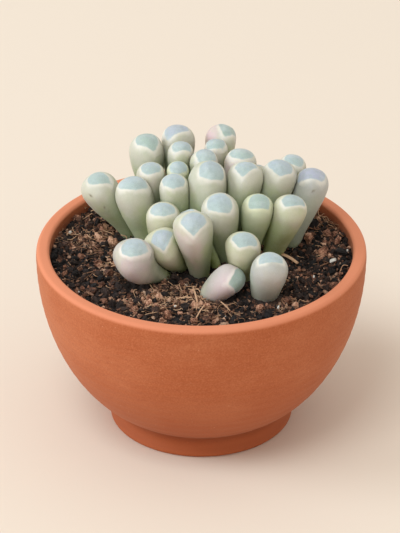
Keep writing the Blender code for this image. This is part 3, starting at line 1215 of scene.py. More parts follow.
    def rays(self) -> tuple[np.ndarray, np.ndarray, np.ndarray]:
        """The skin as rays from the spine: the foot's tip, the stem, the cap and the top.

        Returns:
            For each point, the ray's start, its reach and how far it is below the head, in head
            radii.
        """
        angles = np.linspace(0, tau, self.sides, endpoint=False)[None]
        shares = np.linspace(0, 1, self.stem_rings) ** self.ring_bunching
        keel = self.keel * smooth_step(shares, self.keel_start, 1.0)[:, None]
        girth = self.girth(shares)[:, None] * self.section(angles, keel)
        _, front, side = self.frame_at(shares)
        stem = girth[..., None] * self.ring(angles, front[:, None], side[:, None])
        axis, front, side = self.head_frame()
        climbs = pi / 2 * (np.arange(1, self.cap_rings) / self.cap_rings)[:, None]
        level = self.ring(angles, front, side)
        out = np.cos(climbs)[..., None] * level + np.sin(climbs)[..., None] * axis
        cap = (self.head_reach(angles, climbs)[..., None] * out).reshape(-1, 3)
        top = self.head_reach(np.array([[0.0]]), np.array([[pi / 2]]))[0, 0] * axis
        tip = (0, 0, -self.tip_drop * self.radius)
        starts = np.concatenate([[self.base],
                                 np.repeat(bezier(self.curve, shares), self.sides, axis=0),
                                 np.broadcast_to(self.middle, (len(cap) + 1, 3))])
        reaches = np.concatenate([[tip], stem.reshape(-1, 3), cap, [top]])
        below = (self.run[-1] - np.interp(shares, self.shares, self.run)) / self.radius
        below = np.concatenate([[below[0]], np.repeat(below, self.sides),
                                np.zeros(len(cap) + 1)])
        full = smooth_step(below, 0.0, self.green_climb)
        # Green lifts the stem's colours, and the painted shade towards the soil, up the leaf.
        below += self.green * (self.head_green + (1 - self.head_green) * full)
        return starts, reaches, below

    def on_window(self, offsets: np.ndarray) -> tuple[np.ndarray, np.ndarray]:
        """Where points lie on the window.

        Args:
            offsets: The points from the head's middle, in head radii.

        Returns:
            How far inside its outline each one is, in millimetres, and how far back, 0 to 1.
        """
        axis, front, side = self.head_frame()
        tilt = radians(self.tilt)
        ahead = cos(tilt) * front - sin(tilt) * axis
        upward = sin(tilt) * front + cos(tilt) * axis
        across, near, up = (offsets @ way for way in (side, ahead, upward))
        inside = np.where(up > self.window_lowest, self.window.reach(across, near), -1.0)
        return inside * (self.radius / MM), smooth_step(near, *self.window_run)

    def blushing(self, offsets: np.ndarray) -> np.ndarray:
        """How pink the skin is.

        Args:
            offsets: Points from the head's middle, in head radii.

        Returns:
            The share of pink at each, from 0 to 1.
        """
        _, front, side = self.head_frame()
        turn = radians(self.blush_turn)
        way = cos(turn) * front + sin(turn) * side
        return self.blush * smooth_step(offsets @ way, *self.blush_fade)

    def skin(self, starts: np.ndarray, reaches: np.ndarray, kept: np.ndarray,
             window: np.ndarray) -> np.ndarray:
        """The skin's points, with the window sunk in, its border raised and a few soft dents.

        Args:
            starts: The points of the spine that the skin stands over.
            reaches: From there to the skin.
            kept: The share of each reach that stays where leaves press together.
            window: How far inside the window each point is, in millimetres.

        Returns:
            One row for each point.
        """
        length = np.linalg.norm(reaches, axis=1)[:, None]
        outward = reaches / np.maximum(length, 1e-9)
        across_border = (window - self.border_place) / self.border_width
        relief = self.border_lift * np.exp(-across_border ** 2)
        relief -= self.window_sink * smooth_step(window, 0.0, self.window_slope)
        relief *= smooth_step(kept, *self.press_fade)
        places = starts + reaches * kept[:, None] + outward * relief[:, None]
        dents = [noise.noise(Vector(place) / self.dent_size) - 0.5 for place in places]
        return places + outward * (self.unevenness * np.array(dents))[:, None]

    def mesh(self, leaves: Sequence[Leaf]) -> bpy.types.Mesh:
        """The leaf's closed skin, with the values that its material reads.

        Args:
            leaves: All the leaves of the plant.

        Returns:
            The mesh.
        """
        starts, reaches, below = self.rays()
        offsets = (starts + reaches - self.middle) / self.radius
        window, far = self.on_window(offsets)
        pressing = [leaf for leaf in leaves if leaf is not self and self.crowds(leaf)]
        kept = self.squeeze(starts, reaches, pressing)
        places = self.skin(starts, reaches, kept, window)
        side = self.head_frame()[2]
        held = {"window": window, "below_head": below, "blush": self.blushing(offsets),
                "window_far": far, "scar": self.scar_marks(offsets @ side, places),
                "window_hue": np.full(len(places), self.hue)}
        mesh = bpy.data.meshes.new(self.name)
        mesh.from_pydata(places.tolist(), [], self.faces())
        for name, values in held.items():
            put_values(mesh, name, values)
        mesh.shade_smooth()
        mesh.materials.append(skin_material(self.tint))
        return mesh

    def scar_marks(self, across: np.ndarray, places: np.ndarray) -> np.ndarray:
        """How brown the skin is: small dry marks, as long as they are wide or longer.

        Args:
            across: Places across the leaf, in head radii.
            places: The skin's points.

        Returns:
            1 at the middle of a mark and 0 away from them.
        """
        brown = np.zeros(len(places))
        for u, height, size in self.scars:
            up = self.scar_stretch * (places[:, 2] - height * MM)
            apart = np.hypot((across - u) * self.radius, up)
            facing = places[:, 1] < self.middle[1]
            brown = np.maximum(brown, facing * np.exp(-(apart / (size * MM)) ** 2))
        return brown

    def faces(self) -> list[tuple[int, ...]]:
        """Rings of squares, closed by a fan at each end."""
        rings = self.stem_rings + self.cap_rings - 1
        last = 1 + rings * self.sides
        faces: list[tuple[int, ...]] = []
        for index in range(self.sides):
            after = (index + 1) % self.sides
            faces.append((0, 1 + after, 1 + index))
            top = 1 + (rings - 1) * self.sides
            faces.append((last, top + index, top + after))
            for ring in range(rings - 1):
                low = 1 + ring * self.sides
                high = low + self.sides
                faces.append((low + index, low + after, high + after, high + index))
        return faces


SKINS: dict[Tint, bpy.types.Material] = {}


def skin_material(tint: Tint) -> bpy.types.Material:
    """Mix the skin of a tint, the first time that it is asked for.

    Args:
        tint: The tint.

    Returns:
        Its material.
    """
    if tint not in SKINS:
        SKINS[tint] = tint.value.material()
    return SKINS[tint]


SHARP = 22.0
SOFT = 6.0

LEAVES = (
    Leaf("leaf_01", (-14, 20), (-16.5, 25.3, 76.2), 10.4, 15, 18, 0.6, cap=1.35,
         window=Window((0.20, 0.98), 0.81, 1.1, 0.0, 0.65), green=0.25, hue=0.7),
    Leaf("leaf_02", (-8, 25), (-7.3, 30.5, 77.4), 10.2, -15, 12, 0.4,
         window=Window((-0.35, 1.0), 1.4, 0.9, -0.04, 0.74), hue=-0.6),
    Leaf("leaf_03", (-7.5, 18.5), (-6.3, 21.7, 77.5), 8.0, 0, 16, 0.3,
         window=Window((-0.40, 0.70), 1.0, 0.27, 0.04, 0.74), green=0.4),
    Leaf("leaf_04", (3.5, 25), (6.3, 31.6, 77.4), 9.4, 20, 16, 0.5, blush=1.0, blush_turn=-110,
         window=Window((0.10, 0.78), 0.1, 0.65, 0.20, 0.56, crispness=SHARP), hue=0.7),
    Leaf("leaf_05", (5.5, 18), (4.5, 24.4, 77.5), 7.2, 0, 18, 0.3, blush=0.3,
         window=Window((0.0, 0.82), 0.25, 0.25, -0.02, 0.80, 0.75), green=0.3, hue=0.3),
    Leaf("leaf_06", (0.5, 12), (1, 16.9, 77), 8.6, 15, 18, 0.4,
         window=Window((-0.20, 0.95), 0.6, 0.55, 0.02, 0.70, 0.6)),
    Leaf("leaf_07", (9.5, 12.5), (11.9, 18.2, 75.9), 9.9, 0, 14, 0.2, blush=0.5, blush_turn=-60,
         window=Window((0.06, 0.82), 0.42, 0.75, 0.02, 0.78, crispness=SOFT), hue=0.4),
    Leaf("leaf_08", (10, 6), (13.2, 7.9, 76.3), 10.7, -5, 20, 0.7,
         window=Window((-0.17, 0.66), 1.35, 1.3, -0.02, 0.70, crispness=SHARP), hue=0.15),
    Leaf("leaf_09", (17, 8), (23.4, 10.9, 75.3), 10.8, -5, 22, 0.5,
         window=Window((-0.12, 0.80), 1.2, 0.85, -0.14, 0.76, 0.62), green=0.25, hue=-0.3),
    Leaf("leaf_10", (0.5, 4.5), (2, 6.7, 74.4), 11.9, 12, 24, 0.6, cap=1.65,
         window=Window((0.05, 0.62), 0.40, 0.40, 0.05, 0.67, 0.76, SOFT), green=0.6, hue=0.1),
    Leaf("leaf_11", (21, 14.5), (27.6, 19.4, 73.9), 8.6, 0, 15, 0.3,
         window=Window((0.20, 0.78), 0.1, 0.3, -0.10, 0.68)),
    Leaf("leaf_12", (26.5, 8), (33.3, 11.9, 72.4), 10.3, -15, 12, 0.2,
         tint=Tint.SILVER, scars=((0.3, 73.4, 0.24),), club=3,
         window=Window((-0.40, 0.82), 0.3, 0.3, -0.13, 0.76, 0.64), green=0.0, hue=-0.9),
    Leaf("leaf_13", (-12.5, 13), (-15.3, 14.5, 73.9), 8.7, 0, 14, 0.4, blush=0.25,
         window=Window((0.05, 0.78), 0.5, 0.6, 0.13, 0.68, 0.56), green=0.4),
    Leaf("leaf_14", (-6, 12), (-7.1, 13.9, 75.7), 6.8, 0, 16, 0.2, tint=Tint.GREEN,
         window=Window((0.0, 0.95), 0.5, 0.55, 0.07, 0.78, 0.52), hue=-0.3),
    Leaf("leaf_15", (-7, 5), (-8.1, 5.9, 73.8), 9.2, -5, 15, 0.3, club=3.2, cap=1.35,
         window=Window((0.0, 0.78), 0.6, 0.55, 0.0, 0.73, 0.54), green=0.8, hue=-0.2),
    Leaf("leaf_16", (-20, 13.5), (-30.6, 12.7, 69.9), 11.1, 10, 15, 0.5,
         scars=((-0.45, 71.0, 0.28), (-0.2, 67.5, 0.16), (-0.1, 66.6, 0.13)),
         window=Window((0.0, 0.43), 1.0, -0.08, 0.30, 0.54, 0.60), green=0.3, hue=0.5),
    Leaf("leaf_17", (-15.5, 7), (-20.2, 7.6, 70.6), 11.3, 10, 12, 0.2, cap=1.35,
         window=Window((0.15, 0.72), 0.6, 0.4, 0.10, 0.78, 0.56, SOFT)),
    Leaf("leaf_18", (-11.5, 0.5), (-11.4, -2.9, 68.8), 10.4, 0, 8, 0.2,
         tint=Tint.FRESH, green=0.6,
         window=Window((0.0, 0.62), 0.35, 0.4, -0.02, 0.74, 0.52, SOFT)),
    Leaf("leaf_19", (7, -1.5), (5.6, -4.5, 72.1), 11.3, 0, 20, 0.2,
         window=Window((0.15, 0.60), 0.35, 0.2, 0.02, 0.67, 0.72), green=0.2),
    Leaf("leaf_20", (14.5, 0.5), (16.9, -2.2, 71.5), 9.7, 0, 16, 0.2, tint=Tint.GREEN,
         window=Window((-0.40, 0.58), 0.2, 0.17, 0.0, 0.68, 0.70), hue=0.7),
    Leaf("leaf_21", (21, 2.5), (26.5, -2.1, 70.9), 10.3, 5, 12, 0.3, club=3,
         tint=Tint.FRESH, green=0.4, hue=0.4,
         window=Window((-0.50, 0.32), 2.0, 0.33, 0.0, 0.74, 0.72, SHARP)),
    Leaf("leaf_22", (-0.2, -9.5), (-2.5, -15.1, 71.7), 11.3, 0, 30, 1.0, club=2.5,
         blush=0.5, green=0.45, hue=-0.2,
         window=Window((0.06, 0.50), 1.25, 1.0, 0.12, 0.74, 0.88, SHARP)),
    Leaf("leaf_23", (6, -8), (-2.8, -5.5, 69.6), 7.2, 0, 15, 0.3, green=0.4),
    Leaf("leaf_24", (-6, -4), (-11.3, -11.7, 64.3), 10.8, 15, 28, 1.0,
         tint=Tint.FRESH, blush=0.25, blush_turn=-60, green=1.0, hue=-0.3,
         window=Window((0.0, 0.31), 2.0, 0.68, 0.22, 0.74, 0.88, SHARP)),
    Leaf("leaf_25", (-9.8, -9.5), (-20.2, -18.3, 63.9), 12.1, -10, 14, 0.5, nod=-0.5, club=1.5,
         tint=Tint.LILAC, blush=0.5, blush_turn=0, green=1.6,
         window=Window((0.25, 0.46), 0.6, 0.55, 0.32, 0.62, 0.76)),
    Leaf("leaf_26", (12.5, -11.5), (12.2, -18.1, 67.1), 10.4, -10, 14, 0.5,
         tint=Tint.FRESH, green=0.6, hue=0.4,
         window=Window((-0.12, 0.30), 1.0, 0.41, 0.10, 0.77, 0.84, SHARP)),
    Leaf("leaf_27", (1, -22), (8.1, -23.5, 59.6), 9.3, 0, 20, 0.5, nod=0.5, club=2.5,
         tint=Tint.LILAC, blush=0.5, blush_turn=0, hue=1.0,
         window=Window((0.0, 0.80), 0.2, 0.2, 0.20, 0.57, 0.80, SHARP)),
    Leaf("leaf_28", (18.2, -23), (20.1, -25.7, 64), 11.1, 0, 10, 0.1, club=2.0,
         tint=Tint.SILVER, blush=0.15, blush_turn=0, green=1.3,
         window=Window((-0.50, 0.24), 0.3, 0.2, -0.02, 0.66, 0.70, SHARP)),
    Leaf("leaf_29", (14.5, 17), (16.9, 22.8, 69), 8.4, 180, 15, 0.3),
    Leaf("leaf_30", (-14, 27), (-15.9, 34.3, 68.5), 9.0, 180, 15, 0.3),
    Leaf("leaf_31", (-1, 19), (-1.5, 33.6, 64.7), 8.0, 180, 15, 0.3),
    Leaf("leaf_32", (-21.5, 20), (-24.9, 21.4, 62.6), 7.0, 180, 15, 0.3),
    Leaf("leaf_33", (-3.5, 0.5), (-4, 0, 66), 7.2, 0, 15, 0.3),
)


# Soil


@dataclass(frozen=True)
class Peat:
    """Loose soil: a run of browns that each bit takes its own place in, and fine grit."""

    name: str
    stops: tuple[tuple[float, Colour], ...]
    fleck: Colour = (0.34, 0.22, 0.14)
    fleck_share: float = 0.35
    grain: float = 0.5 * MM
    depth: float = 0.2 * MM
    clumps: float = 6.5 * MM
    patchiness: float = 0.7
    roughness: float = 0.85
    fine_contrast: float = 1.1
    coarse_contrast: float = 0.4
    fleck_range: Pair = (0.60, 0.74)

    def material(self) -> bpy.types.Material:
        """Mix the soil. It reads the tone that each bit holds."""
        paint = Paint(self.name)
        fine = paint.noise(Cloud(self.grain, 4.0, 0.7))
        coarse = paint.noise(Cloud(5 * self.grain, 2.0))
        wide = paint.noise(Cloud(self.clumps, 2.0))
        tone = paint.value_of("tone") + (fine - 0.5) * self.fine_contrast
        tone = tone + (coarse - 0.5) * self.coarse_contrast + (wide - 0.5) * self.patchiness
        colour = paint.add("ShaderNodeValToRGB", {"stops": self.stops}, {"Fac": tone})
        colour = paint.coats(colour, (fine.ramp(*self.fleck_range), self.fleck_share, self.fleck))
        paint.feed("Base Color", colour)
        paint.feed("Roughness", self.roughness)
        paint.bump(fine, self.depth, 0.8)
        return paint.material


DARK_CRUMB = Peat("dark_crumb", grain=0.4 * MM, depth=0.3 * MM, stops=(
    (0.0, (0.006, 0.004, 0.004)), (0.50, (0.038, 0.019, 0.013)), (0.66, (0.130, 0.054, 0.031)),
    (0.82, (0.36, 0.155, 0.090)), (1.0, (0.70, 0.42, 0.28))))
DEEP_SOIL = Peat("deep_soil", stops=(
    (0.0, (0.007, 0.005, 0.005)), (0.45, (0.028, 0.016, 0.012)),
    (0.75, (0.11, 0.046, 0.026)), (1.0, (0.25, 0.12, 0.070))))
COIR = Peat("coir", grain=0.3 * MM, depth=0.05 * MM, stops=(
    (0.0, (0.10, 0.042, 0.020)), (0.5, (0.34, 0.165, 0.085)), (1.0, (0.76, 0.48, 0.29))))
BARK = Peat("bark", grain=0.4 * MM, stops=(
    (0.0, (0.045, 0.019, 0.011)), (0.5, (0.19, 0.080, 0.043)), (1.0, (0.48, 0.31, 0.21))))
STRAW = Peat("straw", grain=0.25 * MM, depth=0.04 * MM, fleck=(0.42, 0.24, 0.12), stops=(
    (0.0, (0.40, 0.21, 0.11)), (1.0, (0.68, 0.43, 0.27))))
PERLITE = Peat("perlite", grain=0.4 * MM, fleck=(0.40, 0.35, 0.30), stops=(
    (0.0, (0.55, 0.50, 0.44)), (1.0, (0.80, 0.77, 0.72))))


class BitShape(Enum):
    """What a loose bit looks like before it is scattered."""

    CRUMB = "rounded and lumpy"
    CHIP = "flat, with blunt corners"
    FIBRE = "a thin curled hair"


@dataclass(frozen=True)
class LooseBits:
    """One kind of loose bit that lies on the soil.

    Low and high are the smallest and the largest bit, the margin is the room that is kept beside
    leaves, and lift is how far the bits are raised. The form is their stretch along each axis.
    The coir share is how far they keep to the patches of coir. The tones are how far along its
    soil's run of browns a bit may lie.
    """

    name: str
    shape: BitShape
    peat: Peat
    spacing: float
    low: float
    high: float
    seed: int
    margin: float
    lift: float = 0.0
    form: Triple = (1.0, 0.85, 0.7)
    lumps: float = 0.5
    coir_share: float = 0.0
    tone_low: float = 0.0
    tone_high: float = 1.0
    variants: int = 5
    segments: int = 7
    rings: int = 5
    thickness: float = 0.035
    curl: Triple = (1.3, 1.1, 0.5)
    bend: float = 0.3
    curve_steps: int = 9
    lump_scale: float = 1.9
    girth_range: Pair = (0.8, 1.2)
    crowding: float = 1.6
    flat_lean: float = 0.35
    coir_tone: float = 0.3
    darkening: float = 0.12

    def hair(self, recipe: Recipe, draw: np.random.Generator) -> Wire:
        """A thin curled fibre, 1 long.

        Args:
            recipe: The tree that it is made in.
            draw: Where its random form comes from.

        Returns:
            Its mesh.
        """
        handles = draw.uniform(-0.5, 0.5, (2, 3)) * self.curl
        end = (0.5, float(draw.uniform(-self.bend, self.bend)), 0.0)
        sockets = {"Start": (-0.5, 0.0, 0.0), "Start Handle": tuple(handles[0]),
                   "End Handle": tuple(handles[1]), "End": end,
                   "Resolution": self.curve_steps}
        curve = recipe.add("GeometryNodeCurvePrimitiveBezierSegment", None, sockets)
        outline = recipe.add("GeometryNodeCurvePrimitiveCircle", None,
                             {"Resolution": 3, "Radius": self.thickness}, "Curve")
        return recipe.add("GeometryNodeCurveToMesh", None,
                          {"Curve": curve, "Profile Curve": outline, "Fill Caps": True})

    def crumb(self, recipe: Recipe, draw: np.random.Generator, variant: int) -> Wire:
        """A lumpy crumb or chip, about 1 across.

        Args:
            recipe: The tree that it is made in.
            draw: Where its random form comes from.
            variant: Which of the differing crumbs it is.

        Returns:
            Its mesh.
        """
        ball = recipe.add("GeometryNodeMeshUVSphere", None,
                          {"Segments": self.segments, "Rings": self.rings, "Radius": 0.5})
        sockets = {"Vector": recipe.position(), "W": 3.7 * variant + self.seed,
                   "Scale": self.lump_scale, "Detail": 2.0, "Roughness": 0.6}
        cloud = recipe.add("ShaderNodeTexNoise", {"noise_dimensions": "4D"}, sockets, "Color")
        centred = recipe.vectors("SUBTRACT", {0: cloud, 1: (0.5, 0.5, 0.5)})
        push = recipe.vectors("SCALE", {0: centred, "Scale": 2.0 * self.lumps})
        lumpy = recipe.add("GeometryNodeSetPosition", None, {"Geometry": ball, "Offset": push})
        stretch = np.array(self.form) * draw.uniform(*self.girth_range, 3)
        return recipe.add("GeometryNodeTransform", None,
                          {"Geometry": lumpy, "Scale": tuple(stretch.tolist())})

    def choice(self, recipe: Recipe) -> Wire:
        """Make the differing bits.

        Args:
            recipe: The tree that they are made in.

        Returns:
            The bits, as instances to pick from.
        """
        join = recipe.make("GeometryNodeJoinGeometry")
        for variant in range(self.variants):
            draw = np.random.default_rng(self.seed * 100 + variant)
            if self.shape is BitShape.FIBRE:
                bit = self.hair(recipe, draw)
            else:
                bit = self.crumb(recipe, draw, variant)
            instance = recipe.add("GeometryNodeGeometryToInstance", None, {"Geometry": bit})
            recipe.tree.links.new(instance.socket, join.inputs[0])
        return Wire(recipe, join.outputs[0])

    def scattering(self, material: bpy.types.Material) -> Recipe:
        """The recipe that scatters the bits over the soil.

        Args:
            material: What they are made of.

        Returns:
            The tree, whose input mesh is the soil's top.
        """
        recipe = Recipe("scatter_" + self.name)
        spacing = recipe.size("Spacing", self.spacing)
        low = recipe.size("Smallest", self.low)
        high = recipe.size("Largest", self.high)
        margin = recipe.size("Room Beside Leaves", self.margin)
        lift = recipe.size("Lift", self.lift)
        seed = recipe.size("Seed", self.seed)
        coir = recipe.held("coir")
        sockets = {"Mesh": recipe.geometry(), "Selection": recipe.held("room").above(margin),
                   "Distance Min": spacing,
                   "Density Max": 1.0 / self.spacing ** 2 * self.crowding,
                   "Density Factor": coir * self.coir_share + (1.0 - self.coir_share),
                   "Seed": seed}
        points = recipe.add("GeometryNodeDistributePointsOnFaces",
                            {"distribute_method": "POISSON"}, sockets)
        up = recipe.add("ShaderNodeCombineXYZ", None, {"Z": lift})
        points = recipe.add("GeometryNodeSetPosition", None, {"Geometry": points, "Offset": up})
        lean = pi if self.shape is BitShape.CRUMB else self.flat_lean
        turn = recipe.random((-lean, -lean, 0.0), (lean, lean, tau), self.seed + 1)
        turn = recipe.add("FunctionNodeEulerToRotation", None, {"Euler": turn})
        size = low + (high - low) * recipe.random(0.0, 1.0, self.seed + 2) ** 2.0
        scale = recipe.add("ShaderNodeCombineXYZ", None, {"X": size, "Y": size, "Z": size})
        sockets = {"Points": points, "Instance": self.choice(recipe), "Pick Instance": True,
                   "Rotation": turn, "Scale": scale}
        placed = recipe.add("GeometryNodeInstanceOnPoints", None, sockets)
        tone = recipe.random(self.tone_low, self.tone_high, self.seed + 3)
        tone = tone + coir * self.coir_tone - self.darkening
        settings = {"data_type": "FLOAT", "domain": "INSTANCE"}
        sockets = {"Geometry": placed, "Name": "tone", "Value": tone}
        toned = recipe.add("GeometryNodeStoreNamedAttribute", settings, sockets)
        recipe.finish(toned, material)
        return recipe


LOOSE_BITS = (
    LooseBits("soil_crumbs", BitShape.CRUMB, DARK_CRUMB, 0.9 * MM, 0.6 * MM, 2.0 * MM, 11,
              0.2 * MM, 0.1 * MM, lumps=0.9, tone_low=-0.25, tone_high=1.12, segments=6),
    LooseBits("soil_lumps", BitShape.CRUMB, DARK_CRUMB, 2.1 * MM, 1.4 * MM, 3.6 * MM, 23,
              1.0 * MM, 0.6 * MM, tone_low=-0.1, tone_high=0.94, segments=9, rings=7, lumps=0.75),
    LooseBits("soil_grit", BitShape.CRUMB, BARK, 2.0 * MM, 0.5 * MM, 1.4 * MM, 29,
              0.5 * MM, 0.9 * MM, (1.0, 0.7, 0.5), lumps=0.9, tone_low=0.3, tone_high=0.95),
    LooseBits("soil_bark", BitShape.CHIP, BARK, 4.6 * MM, 1.2 * MM, 3.2 * MM, 37,
              1.2 * MM, 1.0 * MM, (1.0, 0.5, 0.3), 0.4),
    LooseBits("soil_fibres", BitShape.FIBRE, COIR, 0.95 * MM, 1.2 * MM, 4.0 * MM, 41,
              0.7 * MM, 1.2 * MM, coir_share=0.9, thickness=0.04, variants=9),
    LooseBits("soil_perlite", BitShape.CRUMB, PERLITE, 12 * MM, 0.7 * MM, 1.4 * MM, 53,
              1.0 * MM, 1.0 * MM, tone_low=0.3),
)


@dataclass(frozen=True)
class Splinter:
    """A bit of straw or a pale grain that leans on the soil.

    Its two ends and its radius at the thicker one are in millimetres.
    """

    first: Triple
    last: Triple
    radius: float
    taper: float = 0.8
    flatness: float = 0.55
    bow: float = 0.35 * MM
    bow_length: float = 3.4 * MM
    roughness: float = 0.15
    rough_size: float = 0.7 * MM
    tone: float = 0.6

    def mesh(self, material: bpy.types.Material) -> bpy.types.Mesh:
        """Bend and roughen a tapered stick.

        Args:
            material: What it is made of.

        Returns:
            The mesh.
        """
        ends = np.array([self.first, self.last]) * MM
        radius = self.radius * MM
        bm = bmesh.new()
        bmesh.ops.create_cone(bm, cap_ends=True, segments=7, radius1=radius,
                              radius2=self.taper * radius,
                              depth=float(np.linalg.norm(ends[1] - ends[0])))
        long_edges = [e for e in bm.edges if abs(e.verts[0].co.z - e.verts[1].co.z) > MM]
        bmesh.ops.subdivide_edges(bm, edges=long_edges, cuts=9)
        for vertex in bm.verts:
            bow = self.bow * cos(vertex.co.z / self.bow_length * pi / 2)
            rough = self.roughness * radius * noise.noise(vertex.co / self.rough_size)
            vertex.co.x = vertex.co.x * self.flatness + bow + rough
            vertex.co.y += rough
        way = Vector(ends[1] - ends[0]).normalized()
        turn = way.to_track_quat("Z", "X").to_matrix().to_4x4()
        bmesh.ops.transform(bm, matrix=turn, verts=bm.verts)
        bmesh.ops.translate(bm, vec=Vector(ends.mean(axis=0)), verts=bm.verts)
        mesh = take_mesh(bm, "straw_splinter")
        put_values(mesh, "tone", np.full(len(mesh.vertices), self.tone))
        mesh.materials.append(material)
        return mesh


SPLINTERS = (
    Splinter((24.6, -0.4, 55.4), (29.0, -5.4, 55.2), 0.65),
    Splinter((-2.5, -20.5, 56.3), (-0.8, -31.5, 55.1), 0.32),
    Splinter((1.1, -30.5, 55.6), (-1.5, -37.0, 54.9), 0.26),
    Splinter((5.3, -28.0, 55.4), (8.4, -33.0, 55.0), 0.24),
)
WHITE_GRAIN = Splinter((39.1, -4.6, 55.1), (40.6, -4.9, 55.9), 1.0)


@dataclass
class SoilBed:
    """The soil: a crumbly surface and everything that lies loose on it.

    Coir patches are places and sizes in millimetres. The crumb's reach and the fine share are
    parts of its size, and its shares are how much of its height is round and how much is rough.
    The bed's tone is what bare soil has, and what coir adds.
    """

    bowl: FootedBowl
    leaves: Sequence[Leaf]
    level: float = 53.6 * MM
    edge_drop: float = 0.6 * MM
    edge_width: float = 5 * MM
    cells: int = 210
    crumb_size: float = 1.7 * MM
    crumb_height: float = 1.0 * MM
    crumb_reach: float = 0.62
    fine_share: float = 0.35
    heap_height: float = 1.4 * MM
    heap_reach: float = 5.0 * MM
    swell_spacing: float = 17 * MM
    swell_height: float = 1.1 * MM
    small_swell: float = 0.4
    crumb_share: Pair = (0.7, 0.25)
    bed_tone: Pair = (0.25, 0.5)
    wall_gap: float = 0.12 * MM
    wall_room: float = 0.2 * MM
    floor_gap: float = 0.2 * MM
    side_start: float = 3 * MM
    side_rings: int = 12
    room_lifts: Triple = (0.3 * MM, 1.5 * MM, 2.8 * MM)
    leaf_span: float = 45 * MM
    coir_patches: tuple[Triple, ...] = (
        (-33, 10, 7), (-26, -8, 6), (-10, -28, 7), (4, -33, 6), (25, -30, 5),
        (14, 36, 9), (-26, 32, 8), (38, 22, 7), (-11, -26, 8), (2, -25, 5))

    @staticmethod
    def on_disc(x: np.ndarray, y: np.ndarray) -> tuple[np.ndarray, np.ndarray]:
        """Carry points of a square of half-size 1 to a disc of radius 1.

        Args:
            x: Their first coordinates.
            y: Their second coordinates.

        Returns:
            The coordinates on the disc.
        """
        wide = np.abs(x) > np.abs(y)
        safe_x = np.where(x == 0, 1, x)
        safe_y = np.where(y == 0, 1, y)
        turn_x = pi / 4 * y / safe_x
        turn_y = pi / 4 * x / safe_y
        return (np.where(wide, x * np.cos(turn_x), y * np.sin(turn_y)),
                np.where(wide, x * np.sin(turn_x), y * np.cos(turn_y)))

    def height(self, x: float, y: float) -> float:
        """The soil's surface: a gentle swell and packed crumbs.

        Args:
            x: The place, to the right.
            y: The place, to the back.

        Returns:
            The height there.
        """
        spot = Vector((x, y, 0))
        swell = noise.noise(spot / self.swell_spacing)
        swell += 0.5 * noise.noise(spot / (self.small_swell * self.swell_spacing))
        near = noise.voronoi(spot / self.crumb_size)[0][0]
        crumb = sqrt(max(0.0, 1 - (near / self.crumb_reach) ** 2))
        fine = noise.noise(spot / (self.fine_share * self.crumb_size))
        inner_rim = self.bowl.rim_radius - self.bowl.wall
        edge = smooth_step(np.hypot(x, y), inner_rim - self.edge_width, inner_rim)
        round_share, rough_share = self.crumb_share
        return (self.level + self.swell_height * swell - self.edge_drop * float(edge)
                + self.crumb_height * (round_share * crumb + rough_share * fine))

    def heap(self, points: np.ndarray) -> np.ndarray:
        """How much higher the soil is heaped where leaves stand in it.

        Args:
            points: Points of the soil's top.

        Returns:
            The extra height at each.
        """
        heap = np.zeros(len(points))
        for leaf in self.leaves:
            apart = np.hypot(*(points - leaf.base)[:, :2].T)
            heap = np.maximum(heap, np.exp(-(apart / self.heap_reach) ** 2))
        return self.heap_height * heap

    def room(self, points: np.ndarray) -> np.ndarray:
        """How far the soil is from the leaves that stand or hang there.

        Args:
            points: Points of the soil's top.

        Returns:
            The distance at each.
        """
        room = np.full(len(points), 1.0)
        for lift in self.room_lifts:
            raised = points + (0, 0, lift)
            for leaf in self.leaves:
                close = np.hypot(*(raised - leaf.base)[:, :2].T) < self.leaf_span
                room[close] = np.minimum(room[close], leaf.depth(raised[close]))
        wall = self.bowl.inner_radius(self.level) - np.hypot(points[:, 0], points[:, 1])
        return np.minimum(room, wall + self.wall_room)

    def top(self) -> bpy.types.Mesh:
        """The soil's top surface, with the values that the scattering reads."""
        steps = np.linspace(-1, 1, self.cells)
        x, y = (part.ravel() for part in np.meshgrid(steps, steps, indexing="ij"))
        x, y = self.on_disc(x, y)
        radius = self.bowl.inner_radius(self.level - self.edge_drop) - self.wall_gap
        x, y = x * radius, y * radius
        points = np.array([(px, py, self.height(px, py)) for px, py in zip(x, y)])
        points[:, 2] += self.heap(points)
        side = self.cells
        faces = [(row * side + column, (row + 1) * side + column,
                  (row + 1) * side + column + 1, row * side + column + 1)
                 for row in range(side - 1) for column in range(side - 1)]
        mesh = bpy.data.meshes.new("soil_top")
        mesh.from_pydata(points.tolist(), [], faces)
        put_values(mesh, "room", self.room(points))
        coir = sum(np.exp(-((points[:, 0] / MM - px) ** 2 + (points[:, 1] / MM - py) ** 2)
                          / size ** 2) for px, py, size in self.coir_patches)
        coir = np.clip(coir, 0, 1)
        bare, added = self.bed_tone
        put_values(mesh, "coir", coir)
        put_values(mesh, "tone", bare + added * coir)
        return mesh

